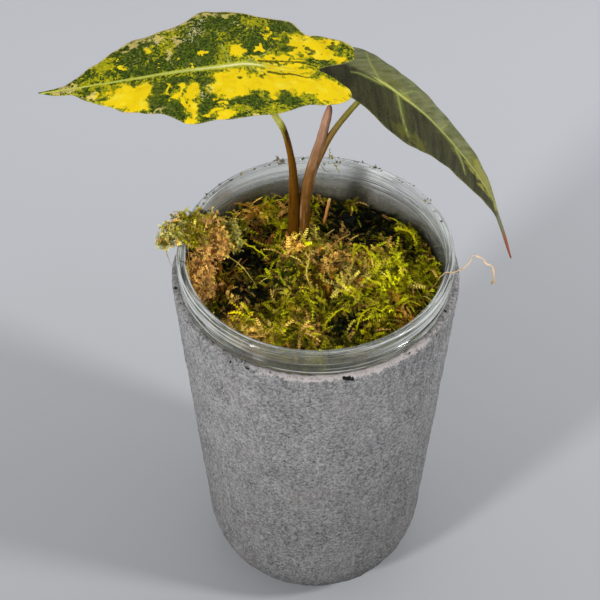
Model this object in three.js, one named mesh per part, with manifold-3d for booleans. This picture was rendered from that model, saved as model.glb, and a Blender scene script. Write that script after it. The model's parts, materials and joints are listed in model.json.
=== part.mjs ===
// A potted variegated kris plant: a stone-textured pot, a clear cup that hangs in it by its rim,
// a moss filling, and a young plant with one variegated and one green arrow-shaped leaf.
// Millimetres, +Z up, origin at the centre of the pot's foot. The front faces -Y.

import * as THREE from 'three';
import { mergeVertices } from 'three/addons/utils/BufferGeometryUtils.js';
import Module from 'manifold-3d';

const wasm = await Module();
wasm.setup();

// Clearance kept between two pieces that touch.
const GAP = 0.3;

// Outer pot.
const POT_HEIGHT = 145;
const POT_TOP_RADIUS = 49.5;
const POT_TAPER = 0.085;
const POT_WALL = 2.8;
const POT_FOOT_RADIUS = 20;
const POT_HEEL_RADIUS = 12;
const POT_BELLY_RADIUS = 31;
const POT_HEEL_ANGLE = 52;
const POT_FLOOR = 5;
const POT_EDGE_WEAR = 0.9;

// Clear cup.
const CUP_RIM_HEIGHT = 155;
const CUP_LIP_RADIUS = 47.5;
const CUP_MOUTH_RADIUS = 44.4;
const CUP_LIP_DEPTH = 4.6;
const CUP_RING_RADIUS = 47.1;
const CUP_RING_DEPTH = 3.2;
const CUP_GROOVE_RADIUS = 46.3;
const CUP_WALL = 1.0;
const CUP_WALL_TOP_RADIUS = 46;
const CUP_BASE_RADIUS = 34;
const CUP_BASE_HEIGHT = 37;
const CUP_BASE_THICKNESS = 1.4;

// Fineness of turned forms.
const ROUND_STEPS = 48;
const HEEL_STEPS = 3;
const BELLY_STEPS = 6;

// Moss filling.
const MOSS_EDGE_HEIGHT = 137;
const MOSS_DOME = 7;
const MOSS_LUMPS = 120;
const MOSS_RINGS = 18;
const MOSS_SHOOTS = 64;
const MOSS_SEED = 7;
const LUMPS_REACH = 42;
const SHOOTS_REACH = 37;
const SHOOT_SIDES = 3;
const CLUMP_SIDES = 9;
const CLUMP_STEPS = 11;

// Plant.
const ROOTSTOCK = { x: -5, y: 21, z: 128, radius: 5.5, length: 20 };
const ROOT_COUNT = 5;
const ROOT_LENGTH = 30;
const BLADE_THICKNESS = 0.8;
const BLADE_ROWS = 32;
const BLADE_HALF_WIDTH = 22;
const MIDRIB_DEPTH = 0.9;
const VEIN_SPACING = 9.5;
const WAVE_SPACING = 15;
const STEM_SIDES = 8;
const STEM_STEPS = 20;
const SHEATH_STEPS = 16;
const STRAND_STEPS = 30;

const vec = ([x, y, z]) => new THREE.Vector3(x, y, z);
const radians = THREE.MathUtils.degToRad;

function seeded(seed) {
  let state = seed >>> 0;
  return () => {
    state = (state + 0x6d2b79f5) >>> 0;
    let t = state;
    t = Math.imul(t ^ (t >>> 15), t | 1);
    t ^= t + Math.imul(t ^ (t >>> 7), t | 61);
    return ((t ^ (t >>> 14)) >>> 0) / 4294967296;
  };
}

// Keeps only positions, merges equal vertices and drops triangles that have shrunk to a line.
function closed(geometry) {
  const bare = geometry.clone();
  bare.deleteAttribute('normal');
  bare.deleteAttribute('uv');
  const merged = mergeVertices(bare, 1e-3);
  const index = merged.getIndex().array;
  const kept = [];
  for (let i = 0; i < index.length; i += 3) {
    const [a, b, c] = [index[i], index[i + 1], index[i + 2]];
    if (a !== b && b !== c && c !== a) kept.push(a, b, c);
  }
  merged.setIndex(kept);
  return merged;
}

function toSolid(geometry) {
  const merged = closed(geometry);
  const mesh = new wasm.Mesh({
    numProp: 3,
    vertProperties: new Float32Array(merged.getAttribute('position').array),
    triVerts: new Uint32Array(merged.getIndex().array),
  });
  return new wasm.Manifold(mesh);
}

// The largest single body of a solid, as a geometry. Loose scraps are left out.
function toGeometry(solid) {
  const bodies = solid.decompose().sort((a, b) => b.volume() - a.volume());
  const mesh = bodies[0].getMesh();
  const geometry = new THREE.BufferGeometry();
  geometry.setAttribute('position', new THREE.BufferAttribute(new Float32Array(mesh.vertProperties), 3));
  geometry.setIndex(Array.from(mesh.triVerts));
  return geometry;
}

function subtractAll(solid, tools) {
  return tools.reduce((left, tool) => left.subtract(tool), solid);
}

// A profile of [radius, height] pairs turned about the Z axis.
function lathe(profile, steps = ROUND_STEPS) {
  const points = profile.map(([r, z]) => new THREE.Vector2(r, z));
  return new THREE.LatheGeometry(points, steps).rotateX(Math.PI / 2);
}

function arc(centreR, centreZ, radius, fromDeg, toDeg, steps) {
  return Array.from({ length: steps + 1 }, (_, i) => {
    const a = radians(fromDeg + ((toDeg - fromDeg) * i) / steps);
    return [centreR + radius * Math.cos(a), centreZ + radius * Math.sin(a)];
  });
}

// A round stem: a cylinder bent along a curve. Its radius is a rule of the place along it, from foot (0)
// to tip (1), and of the turn about it. `extra` grows it all over.
function stem(points, radiusAt, { sides = STEM_SIDES, steps = STEM_STEPS, extra = 0 } = {}) {
  const curve = new THREE.CatmullRomCurve3(points.map(vec), false, 'centripetal');
  const frames = curve.computeFrenetFrames(steps, false);
  const places = curve.getSpacedPoints(steps);
  const geometry = new THREE.CylinderGeometry(1, 1, 1, sides, steps);
  const position = geometry.getAttribute('position');
  for (let i = 0; i < position.count; i += 1) {
    const step = Math.round((position.getY(i) + 0.5) * steps);
    const turn = Math.atan2(position.getZ(i), position.getX(i));
    const radius = radiusAt(step / steps, turn) + extra;
    const point = places[step].clone()
      .addScaledVector(frames.normals[step], position.getX(i) * radius)
      .addScaledVector(frames.binormals[step], -position.getZ(i) * radius);
    if (extra > 0 && step === 0) point.addScaledVector(frames.tangents[0], -extra);
    if (extra > 0 && step === steps) point.addScaledVector(frames.tangents[steps], extra);
    position.setXYZ(i, point.x, point.y, point.z);
  }
  return geometry;
}

// Outer pot: one turned shell with a flat foot, a strongly rounded heel and a worn top edge.
function potOutside() {
  const heel = arc(POT_FOOT_RADIUS, POT_HEEL_RADIUS, POT_HEEL_RADIUS, -90, -POT_HEEL_ANGLE, HEEL_STEPS);
  const [heelR, heelZ] = heel[heel.length - 1];
  const turn = radians(POT_HEEL_ANGLE);
  const bellyR = heelR - POT_BELLY_RADIUS * Math.cos(turn);
  const bellyZ = heelZ + POT_BELLY_RADIUS * Math.sin(turn);
  const taper = THREE.MathUtils.radToDeg(Math.atan(POT_TAPER));
  const belly = arc(bellyR, bellyZ, POT_BELLY_RADIUS, -POT_HEEL_ANGLE, -taper, BELLY_STEPS).slice(1);
  return [...heel, ...belly];
}

function buildPot() {
  const outside = potOutside();
  const edgeInside = POT_TOP_RADIUS - POT_WALL;
  const inside = outside.slice(HEEL_STEPS).map(([r, z]) => [r - POT_WALL, Math.max(z, POT_FLOOR)]).reverse();
  const profile = [
    [0, 0], ...outside,
    [POT_TOP_RADIUS - POT_EDGE_WEAR * POT_TAPER, POT_HEIGHT - POT_EDGE_WEAR],
    [POT_TOP_RADIUS - POT_EDGE_WEAR * 0.7, POT_HEIGHT - POT_EDGE_WEAR * 0.2],
    [POT_TOP_RADIUS - POT_EDGE_WEAR * 1.4, POT_HEIGHT],
    [edgeInside, POT_HEIGHT],
    ...inside, [0, POT_FLOOR],
  ];
  return lathe(profile);
}

// Clear cup: a turned lip, a groove, a stacking ring that sits on the pot's edge, and a tapering wall.
const cupWallRadius = (z) => THREE.MathUtils.mapLinear(
  z, CUP_BASE_HEIGHT, POT_HEIGHT, CUP_BASE_RADIUS, CUP_WALL_TOP_RADIUS,
);

function cupRimOutside(extra = 0) {
  const top = CUP_RIM_HEIGHT;
  const ringFoot = POT_HEIGHT + GAP;
  return [
    [CUP_WALL_TOP_RADIUS + extra, ringFoot],
    [CUP_RING_RADIUS + extra, ringFoot],
    [CUP_RING_RADIUS + extra, ringFoot + CUP_RING_DEPTH],
    [CUP_GROOVE_RADIUS + extra, ringFoot + CUP_RING_DEPTH + 0.4],
    [CUP_GROOVE_RADIUS + extra, top - CUP_LIP_DEPTH - 0.4],
    [CUP_LIP_RADIUS + extra, top - CUP_LIP_DEPTH],
    [CUP_LIP_RADIUS + extra, top - 1.3 + extra * 0.4],
    [CUP_LIP_RADIUS - 0.8 + extra * 0.7, top - 0.35 + extra],
    [CUP_LIP_RADIUS - 1.9, top + extra],
    [CUP_MOUTH_RADIUS - extra * 0.7, top - 0.1 + extra],
    [CUP_MOUTH_RADIUS - 0.1 - extra, top - 0.8],
  ];
}

function buildCup() {
  const floor = CUP_BASE_HEIGHT + CUP_BASE_THICKNESS;
  const profile = [
    [0, CUP_BASE_HEIGHT], [CUP_BASE_RADIUS - 1.2, CUP_BASE_HEIGHT],
    [CUP_BASE_RADIUS, CUP_BASE_HEIGHT + 1.2],
    [cupWallRadius(POT_HEIGHT - 2), POT_HEIGHT - 2],
    ...cupRimOutside(),
    [CUP_MOUTH_RADIUS + 0.2, CUP_RIM_HEIGHT - CUP_LIP_DEPTH],
    [cupWallRadius(POT_HEIGHT) - CUP_WALL, POT_HEIGHT],
    [cupWallRadius(floor) - CUP_WALL, floor], [0, floor],
  ];
  return lathe(profile);
}

// The rim grown by the clearance, which what lies over it is cut with.
function grownRim() {
  const inner = CUP_MOUTH_RADIUS - 0.1 - GAP;
  const profile = cupRimOutside(GAP);
  const [lowR, lowZ] = profile[0];
  const loop = [[inner, lowZ], [lowR, lowZ], ...profile.slice(1), [inner, lowZ]];
  return toSolid(lathe(loop));
}

// Moss filling: a dome with soft lumps, drawn as one rule so that what lies on it can follow it.
const lumpDraw = seeded(MOSS_SEED);
const lumps = Array.from({ length: MOSS_LUMPS }, () => {
  const turn = lumpDraw() * Math.PI * 2;
  const reach = Math.sqrt(lumpDraw()) * LUMPS_REACH;
  return {
    x: reach * Math.cos(turn),
    y: reach * Math.sin(turn),
    height: -2.6 + 5.4 * lumpDraw(),
    width: 1.8 + 2.6 * lumpDraw(),
  };
});

function mossHeight(x, y) {
  const r = Math.hypot(x, y);
  const edge = cupWallRadius(MOSS_EDGE_HEIGHT) - CUP_WALL;
  const fade = THREE.MathUtils.clamp((edge - r) / 5, 0, 1);
  const lumpy = lumps.reduce((sum, lump) => {
    const away = (x - lump.x) ** 2 + (y - lump.y) ** 2;
    return sum + lump.height * Math.exp(-away / (2 * lump.width ** 2));
  }, 0);
  return MOSS_EDGE_HEIGHT + MOSS_DOME * (1 - (r / edge) ** 2) + fade * lumpy;
}

function mossBody(extra = 0) {
  const floor = CUP_BASE_HEIGHT + CUP_BASE_THICKNESS + GAP;
  const wall = (z) => cupWallRadius(z) - CUP_WALL - GAP + extra;
  const top = Array.from({ length: MOSS_RINGS }, (_, i) => {
    const r = wall(MOSS_EDGE_HEIGHT) * (1 - i / MOSS_RINGS);
    return [r, MOSS_EDGE_HEIGHT];
  });
  const profile = [[0, floor], [wall(floor), floor], ...top, [0, MOSS_EDGE_HEIGHT]];
  const geometry = lathe(profile);
  const position = geometry.getAttribute('position');
  for (let i = 0; i < position.count; i += 1) {
    if (position.getZ(i) > MOSS_EDGE_HEIGHT - 0.01) {
      position.setZ(i, mossHeight(position.getX(i), position.getY(i)) + extra);
    }
  }
  return toSolid(geometry);
}

// A moss shoot: a short curved spike that starts under the surface and leans over.
function mossShoot(draw, foot, lean, length, width) {
  const turn = draw() * Math.PI * 2;
  const bend = 0.5 + 0.9 * draw();
  const out = new THREE.Vector3(Math.cos(turn), Math.sin(turn), 0);
  const rise = (t) => Math.sin(lean) * length * t;
  const reach = (t) => Math.cos(lean) * length * t ** (1 + bend);
  const points = [-0.25, 0.5, 1].map((t) => {
    const side = reach(Math.max(t, 0));
    return [foot.x + out.x * side, foot.y + out.y * side, foot.z + rise(t)];
  });
  return toSolid(stem(points, (t) => width * (1 - 0.8 * t), { sides: SHOOT_SIDES, steps: 2 }));
}

function mossShoots(keepClear) {
  const draw = seeded(MOSS_SEED + 1);
  const shoots = [];
  while (shoots.length < MOSS_SHOOTS) {
    const turn = draw() * Math.PI * 2;
    const r = Math.sqrt(draw()) * SHOOTS_REACH;
    const foot = { x: r * Math.cos(turn), y: r * Math.sin(turn) };
    const lean = radians(30 + 45 * draw());
    const length = 4 + 4 * draw();
    const width = 0.8 + 0.5 * draw();
    const clear = keepClear.every((spot) => Math.hypot(foot.x - spot.x, foot.y - spot.y) > spot.reach);
    if (clear) {
      foot.z = mossHeight(foot.x, foot.y) - 0.4;
      shoots.push(mossShoot(draw, foot, lean, length, width));
    }
  }
  return shoots;
}

// A loose moss clump: an uneven bolster along a line, with shoots standing out of it.
function mossClump({ seed, line, radii, shoots, reach }, extra = 0) {
  const draw = seeded(seed);
  const curve = new THREE.CatmullRomCurve3(line.map(vec));
  const last = radii.length - 1;
  const thickness = (t) => {
    const from = Math.min(Math.floor(t * last), last - 1);
    return THREE.MathUtils.lerp(radii[from], radii[from + 1], t * last - from);
  };
  const uneven = (t, turn) => {
    const lobes = 0.2 * Math.sin(3 * turn + seed + 9 * t) + 0.12 * Math.sin(5 * turn - 23 * t);
    return thickness(t) * (1 + lobes + 0.14 * Math.sin(31 * t + seed));
  };
  let clump = toSolid(stem(line, uneven, { sides: CLUMP_SIDES, steps: CLUMP_STEPS, extra }));
  for (let i = 0; i < shoots; i += 1) {
    const t = draw();
    const at = curve.getPoint(t);
    const turn = draw() * Math.PI * 2;
    const lean = radians(-15 + 75 * draw());
    const length = thickness(t) + reach * (0.6 + 0.4 * draw());
    const way = vec([Math.cos(turn) * Math.cos(lean), Math.sin(turn) * Math.cos(lean), Math.sin(lean)]);
    const points = [0.25, 0.55, 1].map((s) => {
      const p = at.clone().addScaledVector(way, length * s);
      return [p.x, p.y, p.z + (s === 1 ? -0.6 : 0)];
    });
    const spike = stem(points, (s) => 0.95 - 0.7 * s, { sides: SHOOT_SIDES, steps: 2, extra });
    clump = clump.add(toSolid(spike));
  }
  return clump;
}

// An arrow-shaped leaf blade. The rib is a line in space from behind the lobes to the tip. Each half's
// edge is drawn flat, as [along, across] points from the tip, round the lobe, to the notch behind the
// junction with the stem, where along is measured from the junction towards the tip.
class Blade {
  constructor({ rib, junction, halves, notch, roll, droop, curl, wave, quilt }) {
    this.curve = new THREE.CatmullRomCurve3(rib.map(vec), false, 'centripetal');
    this.curve.arcLengthDivisions = 400;
    this.length = this.curve.getLength();
    this.behind = this.lengthTo(junction / (rib.length - 1));
    Object.assign(this, { halves, notch, roll, droop, curl, wave, quilt });
    this.tip = halves.left[0][0];
  }

  lengthTo(t) {
    const lengths = this.curve.getLengths(400);
    return lengths[Math.round(t * 400)];
  }

  // The point and the directions of travel, of the left side and of the upper face at `along`.
  frame(along) {
    const t = THREE.MathUtils.clamp((along + this.behind) / this.length, 0, 1);
    const at = this.curve.getPointAt(t);
    const travel = this.curve.getTangentAt(t);
    const level = new THREE.Vector3(0, 0, 1).cross(travel).normalize();
    const up = travel.clone().cross(level);
    const turn = radians(this.roll);
    const left = level.clone().multiplyScalar(Math.cos(turn)).addScaledVector(up, Math.sin(turn));
    const face = up.multiplyScalar(Math.cos(turn)).addScaledVector(level, -Math.sin(turn));
    return { at, left, face };
  }

  // A point of the blade's middle surface.
  point(along, across) {
    const { at, left, face } = this.frame(along);
    const away = Math.abs(across);
    const droop = radians(across > 0 ? this.droop.left : this.droop.right);
    const edge = (away / BLADE_HALF_WIDTH) ** 2;
    const phase = across > 0 ? 0.6 : 2.1;
    const ripple = this.wave * edge * Math.sin((along * Math.PI * 2) / WAVE_SPACING + phase);
    const veins = Math.cos(((along - away * 0.55) * Math.PI * 2) / VEIN_SPACING);
    const quilt = this.quilt * veins * Math.min(away / 5, 1);
    const lift = -away * Math.sin(droop) - this.curl * away * away + ripple + quilt;
    return at.clone()
      .addScaledVector(left, across * Math.cos(droop))
      .addScaledVector(face, lift);
  }

  normal(along, across) {
    const step = 0.05;
    const a = this.point(along + step, across).sub(this.point(along - step, across));
    const b = this.point(along, across + step).sub(this.point(along, across - step));
    return a.cross(b).normalize();
  }

  // The flat place of row 0 (tip) to 1 (notch) and column -1 (right edge) to 1 (left edge).
  flat(row, column) {
    const half = column < 0 ? this.outlines.right : this.outlines.left;
    const sign = column < 0 ? -1 : 1;
    const rib = this.tip + (this.notch - this.tip) * (1 - (1 - row) ** 1.7);
    const edge = half.getPointAt(row);
    const s = Math.abs(column);
    return [rib + (edge.x - rib) * s, sign * edge.y * s];
  }

  build(extra = 0) {
    const outline = (points) => new THREE.CatmullRomCurve3(
      points.map(([along, across]) => vec([along, across, 0])), false, 'centripetal',
    );
    this.outlines = { left: outline(this.halves.left), right: outline(this.halves.right) };
    const columns = [-1, -0.78, -0.54, -0.3, -0.07, 0, 0.07, 0.3, 0.54, 0.78, 1];
    const vertices = [];
    const faces = [];
    const perFace = (BLADE_ROWS + 1) * columns.length;
    for (const side of [1, -1]) {
      for (let i = 0; i <= BLADE_ROWS; i += 1) {
        for (const column of columns) {
          const row = i / BLADE_ROWS;
          const [along, across] = this.flat(row, column);
          const ridge = side < 0 && column === 0 ? MIDRIB_DEPTH * Math.sin(Math.PI * row) ** 0.5 : 0;
          const offset = side * (BLADE_THICKNESS / 2 + ridge + extra);
          const p = this.point(along, across).addScaledVector(this.normal(along, across), offset);
          vertices.push(p.x, p.y, p.z);
        }
      }
    }
    const at = (i, j, bottom) => i * columns.length + j + (bottom ? perFace : 0);
    const quad = (a, b, c, d) => faces.push(a, b, c, a, c, d);
    const last = columns.length - 1;
    for (let i = 0; i < BLADE_ROWS; i += 1) {
      for (let j = 0; j < last; j += 1) {
        quad(at(i, j), at(i, j + 1), at(i + 1, j + 1), at(i + 1, j));
        const [a, b, c, d] = [at(i, j, 1), at(i, j + 1, 1), at(i + 1, j + 1, 1), at(i + 1, j, 1)];
        faces.push(a, c, b, a, d, c);
      }
      quad(at(i, 0, 1), at(i, 0), at(i + 1, 0), at(i + 1, 0, 1));
      quad(at(i, last), at(i, last, 1), at(i + 1, last, 1), at(i + 1, last));
    }
    const geometry = new THREE.BufferGeometry();
    geometry.setAttribute('position', new THREE.Float32BufferAttribute(vertices, 3));
    geometry.setIndex(faces);
    const solid = closed(geometry);
    const test = toSolid(solid);
    return test.volume() < 0 ? closed(geometry.setIndex(faces.reverse())) : solid;
  }
}

const variegatedBlade = new Blade({
  rib: [
    [11.7, 11, 225.1], [0.4, 11, 227.7], [-11.2, 10.5, 229.6], [-22.6, 10, 231.6], [-33, 9.2, 230.8],
    [-44, 8.4, 229.8], [-56, 7.5, 228], [-72.5, 6.2, 225.6], [-87, 5, 223.6],
  ],
  junction: 3,
  notch: -23,
  roll: -8,
  droop: { left: -3, right: -3 },
  curl: 0.003,
  wave: 0.9,
  quilt: 0.25,
  halves: {
    left: [
      [65, 0], [60, 1.2], [55, 3.8], [47, 8.2], [40.5, 12.3], [31, 15.3], [24, 19.8], [18, 22.4], [10, 22.3],
      [2, 21.5], [-9, 20], [-16, 16.6], [-25, 14], [-31, 11.8], [-34.5, 8], [-32, 4.6], [-27, 1.8], [-23, 0],
    ],
    right: [
      [65, 0], [60, 0.8], [55, 3.2], [48, 8.2], [38, 15], [26, 17.6], [20.5, 19], [15, 22.6], [7, 23.3],
      [-1, 21.2], [-13, 19.4], [-19.5, 15.8], [-24, 13.8], [-33, 11.6], [-35.4, 8.6], [-31, 4.6], [-27, 2.4],
      [-23, 0],
    ],
  },
});

const greenBlade = new Blade({
  rib: [
    [0.5, 29, 217.6], [11, 23.6, 218], [21.7, 18, 215.3], [28, 15.2, 211.8], [35.3, 12.5, 206.6],
    [42, 9.8, 200], [48.1, 7, 193.2], [52.8, 4.2, 187.6], [58.2, 1.5, 179], [62.9, -1.2, 166],
    [65.8, -4, 155.5],
  ],
  junction: 2,
  notch: -20,
  roll: -10,
  droop: { left: 12, right: 0 },
  curl: 0.002,
  wave: 0.7,
  quilt: 0.25,
  halves: {
    left: [
      [80, 0], [72, 0.6], [62, 0.9], [56, 3], [49.5, 7], [42, 9.2], [34.5, 11.5], [24, 14.5], [13, 16.6],
      [1, 17.8], [-8, 18], [-19, 16], [-27, 13], [-31.5, 9], [-29, 4.6], [-24, 1.6], [-20, 0],
    ],
    right: [
      [80, 0], [72, 0.6], [62, 1.1], [56.5, 3.6], [46.5, 7.2], [38.5, 8.8], [27, 12], [18.5, 15],
      [10, 16.4], [-1, 15.8], [-8, 14.8], [-16, 13.4], [-24, 11.2], [-30, 8], [-29, 4.8], [-24, 1.7],
      [-20, 0],
    ],
  },
});

// Stems, each from its foot in the rootstock to its end under the blade.
const FOOT_HEIGHT = ROOTSTOCK.z + 5;
const STEMS = {
  variegated: {
    points: [
      [-7, 21.3, FOOT_HEIGHT], [-7.5, 20.5, 145.5], [-7, 18.6, 167.5], [-7.9, 16.5, 184.2],
      [-10.2, 14.6, 198], [-13.4, 13.4, 206.5], [-17.8, 11.8, 219], [-22.2, 10.1, 232],
    ],
    radius: (t) => 1.85 - 0.95 * t,
  },
  green: {
    points: [
      [-3.2, 20.8, FOOT_HEIGHT], [-3.4, 20.6, 150.5], [-2.6, 20.2, 164.5], [-0.7, 20, 174.2],
      [1.7, 19.8, 181.5], [5.2, 19.6, 191.5], [9, 19.5, 199.2], [13.4, 19, 206.7],
      [17.6, 18.5, 211.8], [22, 18, 216],
    ],
    radius: (t) => 1.5 - 0.65 * t,
  },
};

function buildStem({ points, radius }, blade) {
  const whole = toSolid(stem(points, radius));
  const grownBlade = toSolid(blade.build(GAP));
  const parts = whole.subtract(grownBlade).decompose();
  return parts.sort((a, b) => b.volume() - a.volume())[0];
}

const grownStem = ({ points, radius, shape }) => toSolid(stem(points, radius, { ...shape, extra: GAP }));

// The sheath wraps the green leaf's stem from below ground and ends in a long free point.
const SHEATH = {
  points: [
    [-3.6, 21, FOOT_HEIGHT + 1], [-3.8, 20.5, 150.5], [-3.4, 20.1, 164.7], [-2, 20, 175.2], [-0.2, 20, 184.5],
    [1.8, 20, 192.8], [3.2, 20, 199.2], [4.7, 20, 204.4],
  ],
  radius: (t) => 2.55 * (1 - t ** 3.2) ** 0.5 * (1 - 0.42 * t) + 0.12,
  shape: { steps: SHEATH_STEPS },
};

function buildSheath() {
  const whole = toSolid(stem(SHEATH.points, SHEATH.radius, SHEATH.shape));
  return subtractAll(whole, [grownStem(STEMS.green), grownStem(STEMS.variegated)]);
}

// Rootstock with its roots, buried in the moss.
function rootstockSolid(extra = 0) {
  const { x, y, z, radius, length } = ROOTSTOCK;
  const bulb = new THREE.SphereGeometry(1, 12, 8);
  bulb.rotateX(Math.PI / 2).scale(radius + extra, radius + extra, length / 2 + extra).translate(x, y, z);
  let solid = toSolid(bulb);
  for (let i = 0; i < ROOT_COUNT; i += 1) {
    const turn = (i * Math.PI * 2) / ROOT_COUNT + 0.4;
    const spread = i % 2 === 0 ? 12 : 8;
    const points = [0, 0.4, 1].map((t) => [
      x + Math.cos(turn) * (2 + spread * Math.sqrt(t)),
      y + Math.sin(turn) * (2 + spread * Math.sqrt(t)),
      z - 5 - ROOT_LENGTH * t,
    ]);
    const root = stem(points, (t) => 1 - 0.5 * t, { sides: 5, steps: 4, extra });
    solid = solid.add(toSolid(root));
  }
  return solid;
}

function buildRootstock() {
  return subtractAll(rootstockSolid(), [
    grownStem(STEMS.variegated), grownStem(STEMS.green), grownStem(SHEATH),
  ]);
}

// The dried stub of an old leaf stem.
const STUB = {
  points: [[2, 26.8, 132], [2.7, 26, 140], [3.9, 25, 149], [5, 24, 156.6]],
  radius: (t) => 0.95 - 0.25 * t,
  shape: { sides: 8, steps: 6 },
};

// A dry curly strand of moss that lies over the rim on the right.
const STRAND = {
  points: [
    [37.5, -12, 145.5], [41, -11.5, 152.5], [43.6, -11, 156], [46.2, -10.5, 156.1], [49.4, -10, 156.9],
    [51.4, -9.6, 159.4], [52.6, -9.4, 163], [54.8, -10, 162.6], [57, -10.4, 160.4], [59.2, -11, 158.6],
    [59.8, -12, 155], [59.2, -13, 152],
  ],
  radius: (t) => 0.5 + 0.12 * Math.sin(t * 40),
  shape: { sides: 6, steps: STRAND_STEPS },
};

// Where the bark scrap lies, and the spots of the bed that carry something, which the shoots keep clear of.
const SCRAP_SPOT = { x: 12.9, y: -33.6, reach: 7 };
const TAKEN_SPOTS = [
  { x: -4.5, y: 20.5, reach: 9 }, { x: 2.5, y: 26.5, reach: 6 },
  { x: -38, y: 9, reach: 15 }, { x: -37, y: -4, reach: 12 }, { x: -22, y: 10, reach: 12 },
  { x: 38, y: -12, reach: 6 }, SCRAP_SPOT,
];

function buildMossBed() {
  const shoots = mossShoots(TAKEN_SPOTS);
  const bed = shoots.reduce((solid, shoot) => solid.add(shoot), mossBody());
  return subtractAll(bed, [
    rootstockSolid(GAP), grownStem(STEMS.variegated), grownStem(STEMS.green),
    grownStem(SHEATH), grownStem(STUB), grownStem(STRAND),
  ]);
}

// Loose clumps that lie on the bed: one climbs over the rim on the left, two rest inside.
const CLUMPS = {
  moss_overhang: {
    seed: 21,
    finish: 'moss',
    line: [[-29, 7, 146], [-33.5, 8, 152], [-40, 8, 157.5], [-47.5, 6, 158.5], [-53, 2.5, 156]],
    radii: [4.6, 5.8, 5.2, 4, 1.4],
    shoots: 26,
    reach: 3.4,
  },
  dry_moss_clump: {
    seed: 33,
    finish: 'dryMoss',
    line: [[-37, 1, 147], [-37.5, -4.5, 144.6], [-35, -10.5, 142]],
    radii: [3.8, 4.8, 3.6],
    shoots: 14,
    reach: 2.8,
  },
  pale_moss_sprig: {
    seed: 45,
    finish: 'moss',
    line: [[-21.5, 6, 146], [-24.5, 10.5, 149], [-27, 16, 150.5]],
    radii: [2.4, 3.2, 1.8],
    shoots: 14,
    reach: 2.8,
  },
};

// A pale scrap of bark lying on the moss near the front.
function buildBarkScrap() {
  const scrap = new THREE.BoxGeometry(6.5, 3.4, 1.6, 4, 2, 1);
  const position = scrap.getAttribute('position');
  for (let i = 0; i < position.count; i += 1) {
    const [x, y, z] = [position.getX(i), position.getY(i), position.getZ(i)];
    const narrow = 1 - 0.05 * x * x;
    position.setXYZ(i, x, y * narrow, z + 0.12 * x * x + 0.1 * Math.sin(x * 2 + y));
  }
  const { x, y } = SCRAP_SPOT;
  const lying = scrap.rotateZ(radians(20)).translate(x, y, mossHeight(x, y) + 1.2);
  return toSolid(lying).subtract(mossBody(GAP));
}

const FINISHES = {
  stone: { color: 0x8b8b8f, roughness: 0.95, metalness: 0 },
  clear: { color: 0xd4dcd6, roughness: 0.12, metalness: 0, transparent: true, opacity: 0.4 },
  moss: { color: 0x6e6a14, roughness: 0.95, metalness: 0 },
  dryMoss: { color: 0xb0803a, roughness: 0.95, metalness: 0 },
  bark: { color: 0xe6d9a0, roughness: 0.9, metalness: 0 },
  root: { color: 0x9a7a50, roughness: 0.9, metalness: 0 },
  brownStem: { color: 0x6e4a1a, roughness: 0.5, metalness: 0 },
  greenStem: { color: 0x6c6a28, roughness: 0.5, metalness: 0 },
  sheath: { color: 0xa07860, roughness: 0.7, metalness: 0 },
  variegated: { color: 0xb8b420, roughness: 0.35, metalness: 0 },
  green: { color: 0x3e4a1c, roughness: 0.35, metalness: 0 },
};

const plant = new THREE.Group();

function add(name, geometry, finish) {
  const mesh = new THREE.Mesh(geometry, new THREE.MeshStandardMaterial(FINISHES[finish]));
  mesh.name = name;
  plant.add(mesh);
}

add('outer_pot', buildPot(), 'stone');
add('clear_cup', buildCup(), 'clear');

const mossBed = buildMossBed();
add('moss_bed', toGeometry(mossBed), 'moss');
const underClumps = [mossBody(GAP), grownRim()];
for (const [name, clump] of Object.entries(CLUMPS)) {
  add(name, toGeometry(subtractAll(mossClump(clump), underClumps)), clump.finish);
  underClumps.push(mossClump(clump, GAP));
}
add('dry_moss_strand', stem(STRAND.points, STRAND.radius, STRAND.shape), 'dryMoss');
add('bark_scrap', toGeometry(buildBarkScrap()), 'bark');

add('rootstock', toGeometry(buildRootstock()), 'root');
add('stem_variegated_leaf', toGeometry(buildStem(STEMS.variegated, variegatedBlade)), 'brownStem');
add('stem_green_leaf', toGeometry(buildStem(STEMS.green, greenBlade)), 'greenStem');
add('leaf_sheath', toGeometry(buildSheath()), 'sheath');
add('dry_stub', stem(STUB.points, STUB.radius, STUB.shape), 'dryMoss');
add('blade_variegated', variegatedBlade.build(), 'variegated');
add('blade_green', greenBlade.build(), 'green');

export default plant;
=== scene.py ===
"""A potted variegated kris plant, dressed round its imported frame.

A rough stone pot holds a clear cup by the cup's rim. The cup is filled with curly moss, and a young
plant with one variegated and one dark green leaf stands in it. Sizes are in millimetres, and become
metres where a mesh is made.
"""

import json
import logging
import math
from collections.abc import Callable, Sequence
from dataclasses import dataclass, field
from enum import Enum

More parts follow.
